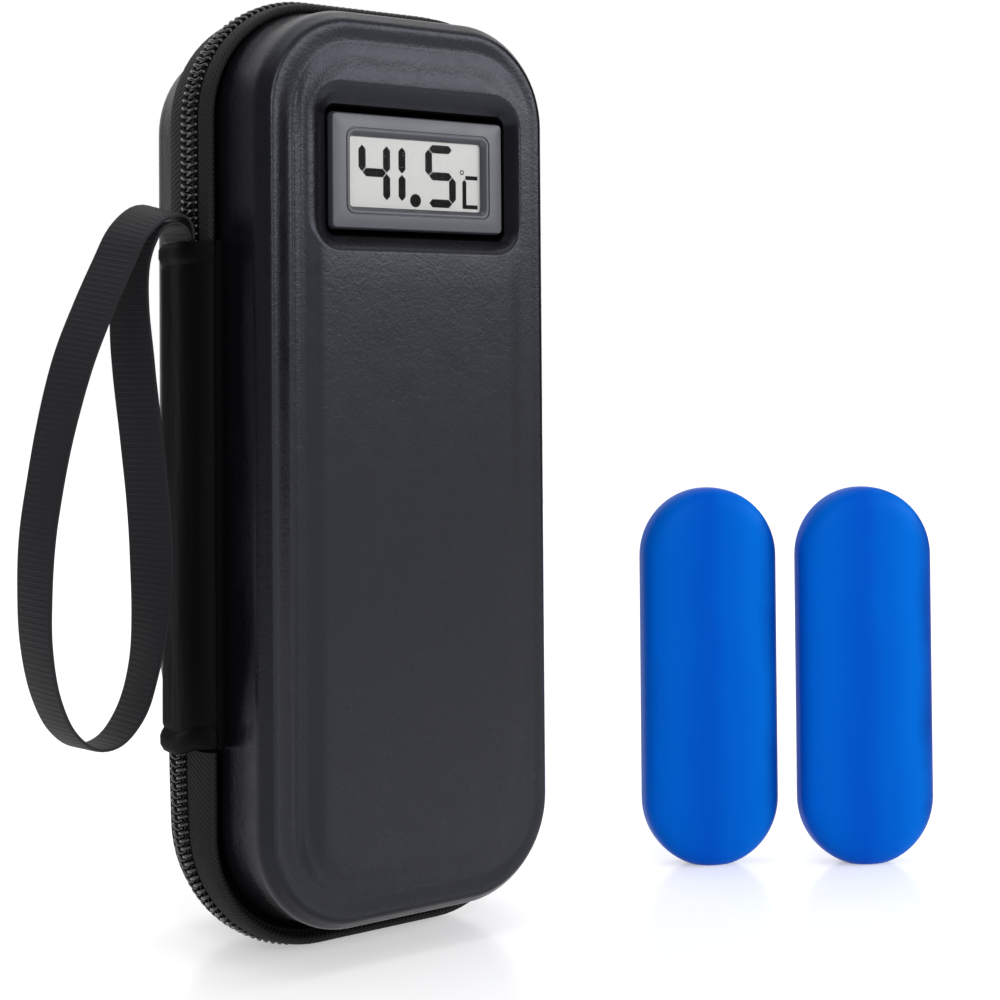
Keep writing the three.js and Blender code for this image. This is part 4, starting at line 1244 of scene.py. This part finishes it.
# Wrist strap: polyester grosgrain ribbon, 12 mm wide, folded into a loop with both ends sewn in at the
# spine's upper end. Ribs run across it; each edge is a fine smooth selvedge.
strap_width = 0.012
strap_reach, strap_drop = 0.032, 0.106
strap_steps = 220
selvedge = 0.0009
rib_pitch = 0.00122
rib_half_width, rib_half_height = rib_pitch * 0.48, 0.0004
# The ribbon's middle line, as shares of how far the loop stands out and how far it hangs: it comes from
# over the zip's end, hangs in a loop, and goes back in just above the hem.
strap_shares = [
    (-0.035, 0.004), (-0.03, 0.035), (0.02, 0.057), (0.128, 0.062), (0.181, 0.06), (0.238, 0.052),
    (0.363, 0.016), (0.475, -0.048), (0.606, -0.13), (0.756, -0.238), (0.88, -0.368), (0.958, -0.481),
    (1.012, -0.585), (1.03, -0.689), (1.02, -0.792), (0.955, -0.892), (0.838, -0.964), (0.68, -1),
    (0.513, -0.994), (0.356, -0.943), (0.258, -0.858), (0.206, -0.749), (0.196, -0.636), (0.218, -0.528),
    (0.268, -0.396), (0.325, -0.255), (0.352, -0.132), (0.318, -0.038), (0.235, 0.018), (0.18, 0.033),
    (0.12, 0.038), (0.06, 0.036), (0.01, 0.024), (-0.012, 0.004),
]
# How the ribbon turns about its own middle line: (share of its length, degrees)
strap_twists = [
    (0, 0), (0.06, -22), (0.16, -22), (0.3, -15), (0.5, -6), (0.58, 4), (0.7, 24), (0.85, 22), (0.95, 8),
    (1, 0),
]

fine_line = smooth_through([
    (spine_low.x - out * strap_reach, spine_high.z + up * strap_drop) for out, up in strap_shares
], 12)
lengths = [0.0]
for a, b in zip(fine_line, fine_line[1:]):
    lengths.append(lengths[-1] + (b - a).length)
strap_length = lengths[-1]
strap_line, nearest = [], 0
for i in range(strap_steps + 1):
    wanted = strap_length * i / strap_steps
    while nearest < len(lengths) - 2 and lengths[nearest + 1] < wanted:
        nearest += 1
    share = (wanted - lengths[nearest]) / (lengths[nearest + 1] - lengths[nearest])
    p = fine_line[nearest].lerp(fine_line[nearest + 1], share)
    strap_line.append(Vector((p.x, seam_y, p.y)))

# The ribbon's section: one edge's rounding as (inwards from the edge, half the thickness), on both sides
rim = [(0, 0.0002), (0.0002, 0.00034), (selvedge, 0.00034)]
underside = [(inset - strap_width / 2, -lift) for inset, lift in rim]
underside += [(strap_width / 2 - inset, -lift) for inset, lift in reversed(rim)]
strap_section = underside + [(-side, -lift) for side, lift in underside]
strap_rings, rib_path = [], []
for i, (point, way) in enumerate(zip(strap_line, ways(strap_line))):
    twist = sum(
        (following - degrees) * ease((i / strap_steps - start) / (end - start))
        for (start, degrees), (end, following) in zip(strap_twists, strap_twists[1:])
    )
    across = Matrix.Rotation(math.radians(twist), 3, way) @ Vector((0, 1, 0))
    face = way.cross(across)
    rib_path.append((point, face))
    strap_rings.append([point + across * side + face * lift for side, lift in strap_section])

# Grosgrain: matt polyester with a thread-fine grain along each rib
ribbon, shader = start_finish("polyester grosgrain, black", 0x1B191D, 0.6, level=0.22)
threads = mottle(shader, 0.0004, 3)
vary_colour(shader, threads, 0.8, 1.2)
vary_height(shader, threads, 0.5, 0.00008)

strap = loft("wrist_strap_ribbon", strap_rings, ribbon)
rib_ends = [(strap_width / 2 - selvedge * 0.8, 0.75), (strap_width / 2 - selvedge * 1.1, 1)]
rib = loft("strap rib", [
    oval(Vector((0, side, 0)), Vector((rib_half_width, 0, 0)), Vector((0, 0, rib_half_height)), 10, size)
    for side, size in [*[(-side, size) for side, size in rib_ends], *reversed(rib_ends)]
], ribbon)
ribs = repeated("wrist_strap_ribs", [rib_path], rib, rib_pitch, ribbon)
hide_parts("wrist_strap", "strap_end_upper", "strap_end_lower")
for piece in (strap, ribs):
    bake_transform(piece)


# Zip sliders and pulls: zinc alloy castings, painted black. Each slider has two plates joined by a neck at
# its nose and a bridge for the pull; a pull is a wire frame with a flat tab.
painted_zinc = moulded("zinc alloy casting, black enamel", 0x26272A, 0.32, 1.5, 0.0, 0.0009, 0.00002)
plate_thickness, plate_bevel = 0.0012, 0.00025
neck_half = 0.00025
slider_shift = Vector((0, -coil_offset, 0))
outer_x = case_width / 2 + part_gap
plate_top = outer_x + plate_thickness
wire, arm = 0.00034, 0.0028
tab_top, tab_bottom, tab_half = -0.0028, -0.0164, 0.0030
tab_corner = {1: 0.0016, -1: 0.0030}
top_widths, under_widths = (0.0088, 0.0072), (0.0076, 0.0064)
pull_standoff, pull_below = 0.00055, 0.00165
pull_lean = {"upper": math.radians(20), "lower": 0}
# The tab from back to front: (place along X, drawn in by)
tab_levels = [
    (-0.00035, 0.0002), (-0.00015, 0), (0.0002, 0), (0.0004, 0.0002), (0.00036, 0.0012), (0.0002, 0.0015),
]


def joined(name, parts):
    """Several closed shells as one piece."""
    shape = bmesh.new()
    for part in parts:
        shape.from_mesh(part.data)
    mesh = parts[0].data.copy()
    shape.to_mesh(mesh)
    shape.free()
    mesh.name = name
    for part in parts:
        bpy.data.objects.remove(part)
    return put(bpy.data.objects.new(name, mesh))


for place_name, nose in (("upper", -1), ("lower", 1)):
    low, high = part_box(f"zip_slider_{place_name}")
    centre_z = (low.z + high.z) / 2
    length = high.z - low.z
    inner_x = low.x + plate_thickness

    def shield(x, width_nose, width_tail, drawn_in):
        """A slider plate's outline at a place along X: wide and round at the nose, narrower at the tail."""
        outline = []
        for y, z, angle in corners(7):
            width = width_nose if z == nose else width_tail
            radius = width * 0.36
            outline.append(Vector((
                x, seam_y + y * (width / 2 - radius) + (radius - drawn_in) * math.cos(angle),
                centre_z + z * (length / 2 - radius) + (radius - drawn_in) * math.sin(angle),
            )))
        return outline

    top_plate = loft("plate", [shield(x, *top_widths, drawn) for x, drawn in (
        (outer_x, 0), (plate_top - plate_bevel, 0), (plate_top, plate_bevel), (plate_top + 0.0001, 0.0016),
    )], painted_zinc)
    under_plate = loft("plate", [shield(x, *under_widths, drawn) for x, drawn in (
        (low.x, plate_bevel), (low.x + plate_bevel, 0), (inner_x, 0),
    )], painted_zinc)
    tip = centre_z + nose * length / 2
    neck = loft("neck", [
        [Vector((x, seam_y + side * neck_half, tip - nose * back))
         for side, back in ((-1, 0.0002), (1, 0.0002), (1, 0.003), (-1, 0.003))]
        for x in (inner_x - 0.0003, outer_x + 0.0003)
    ], painted_zinc)
    bridge_half = [(plate_top - 0.0003, 0.0029), (high.x - 0.0009, 0.0029), (high.x - 0.00035, 0.0022)]
    bridge_ring = thick_line(smooth_through(
        [*[(x, -z) for x, z in bridge_half], *reversed(bridge_half)], 4,
    ), 0.0007)
    bridge = loft("bridge", [
        [Vector((p.x, seam_y + y, centre_z + p.y)) for p in bridge_ring]
        for y in (-0.001, -0.0007, 0.0007, 0.001)
    ], painted_zinc)
    slider = joined(f"zip_slider_{place_name}_casting", [top_plate, under_plate, neck, bridge])
    slider.data.transform(Matrix.Translation(slider_shift))
    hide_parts(f"zip_slider_{place_name}")
    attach(slider, f"slider_{place_name}")

    wire_half = [(arm * 0.95, -0.0032), (arm, -0.0008), (arm * 0.8, -0.00015)]
    wire_line = smooth_through([*[(-y, z) for y, z in wire_half], (0, 0), *reversed(wire_half)], 4)
    loop = loft("pull loop", [
        oval(Vector((0, *point)), Vector((1, 0, 0)), Vector((0, -way.y, way.x)), 8, wire)
        for point, way in zip(wire_line, ways(wire_line))
    ], painted_zinc)
    tab = loft("pull tab", [[Vector((
        x, y * (tab_half - tab_corner[z]) + (tab_corner[z] - drawn) * math.cos(angle),
        (tab_top if z > 0 else tab_bottom) - z * tab_corner[z] + (tab_corner[z] - drawn) * math.sin(angle),
    )) for y, z, angle in corners(7)] for x, drawn in tab_levels], painted_zinc)
    pull = joined(f"zip_pull_{place_name}_casting", [loop, tab])
    pull_axis = Vector((plate_top + pull_standoff, seam_y, centre_z - pull_below))
    pull.data.transform(
        Matrix.Translation(pull_axis + slider_shift) @ Matrix.Rotation(-pull_lean[place_name], 4, "Y")
    )
    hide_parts(f"zip_pull_{place_name}")
    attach(pull, f"pull_{place_name}")


# Ice packs: blow-moulded polyethylene, dyed blue, filled with gel through a plug on the back. Their faces are
# slightly crowned, and a small flat at the lower end lets them stand.
pack_width, pack_height = 0.0354, 0.0966
pack_sink, pack_end_flat = 0.0007, 0.0002
pack_turn = math.radians(-24)
# Half the pack's section, from the face to its edge: (inset from the outline, distance from the middle)
pack_section = [
    (0.0160, 0.0055), (0.0120, 0.00545), (0.0076, 0.0053), (0.0044, 0.0050), (0.0022, 0.0044),
    (0.0009, 0.0035), (0.0002, 0.0022), (0.0, 0.0008), (0.0, 0.0),
]
# Painted light and shade across the pack's width: the blue is lighter at the left edge and in a band right of
# the middle, and darker in the middle and along the right edge. (share of the width, colour)
pack_painted_light = [
    (0.0, 0x0060D4), (1.0, 0x003C98), (0.14, 0x005CC6), (0.45, 0x0050BE), (0.62, 0x005CC6), (0.82, 0x0066CE),
]
blue_plastic, shader = start_finish("blow-moulded polyethylene, blue", 0x0052C0, 0.36, 1.51, level=0.08)
shader.inputs["Specular Tint"].default_value = linear(0x6E9CFF)
tree = shader.id_data
wavered = add_node(tree, "ShaderNodeMath", {
    "operation": "MULTIPLY_ADD", 0: mottle(shader, 0.02, 3), 1: 0.16, 2: -0.08,
})
across = add_node(tree, "ShaderNodeAttribute", {"attribute_name": "across"}).outputs["Fac"]
place_across = add_node(tree, "ShaderNodeMath", {"operation": "ADD", 0: across, 1: wavered})
# Painted light and shade: the colour follows the place across the pack's width, wavering a little at random
painted_light_tint = add_node(tree, "ShaderNodeValToRGB", {"Fac": place_across})
ramp = painted_light_tint.color_ramp
ramp.interpolation = "EASE"
for i, (position, colour) in enumerate(pack_painted_light):
    stop = ramp.elements[i] if i < 2 else ramp.elements.new(position)
    stop.position = position
    stop.color = linear(colour)
tree.links.new(painted_light_tint.outputs["Color"], shader.inputs["Base Color"])
vary_height(shader, mottle(shader, 0.0011, 3), 0.3, 0.00004)
gel = moulded("cellulose gel, pale blue", 0x8FC3E8, 0.2, 1.34, 0.0, 0.004, 0.0001)

for place_name in ("left", "right"):
    low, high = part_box(f"ice_pack_{place_name}")
    centre = Vector(((low.x + high.x) / 2, (low.y + high.y) / 2, 0))
    half_section = smooth_through(pack_section, 4)
    whole = [*half_section, *[Vector((p.x, -p.y)) for p in reversed(half_section[:-1])]]
    turn = Matrix.Translation(centre) @ Matrix.Rotation(pack_turn, 4, "Z")
    rings = []
    for inset, level in whole:
        ring = rounded_ring(
            pack_width - 2 * inset, pack_height - 2 * inset, pack_width / 2 - inset - pack_end_flat,
            0, pack_height / 2 - pack_sink, 0, 1,
        )
        rings.append([turn @ Vector((p.x, level, max(p.z, 0))) for p in ring])
    pack = loft(f"ice_pack_{place_name}_shell", rings, blue_plastic)
    shares = [(turn.inverted() @ v.co).x / pack_width + 0.5 for v in pack.data.vertices]
    pack.data.attributes.new("across", "FLOAT", "POINT").data.foreach_set("value", shares)
    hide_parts(f"ice_pack_{place_name}")
    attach(pack, f"pack_{place_name}")
    dress(blue_plastic, f"ice_pack_plug_{place_name}")
    dress(gel, f"ice_pack_gel_{place_name}")
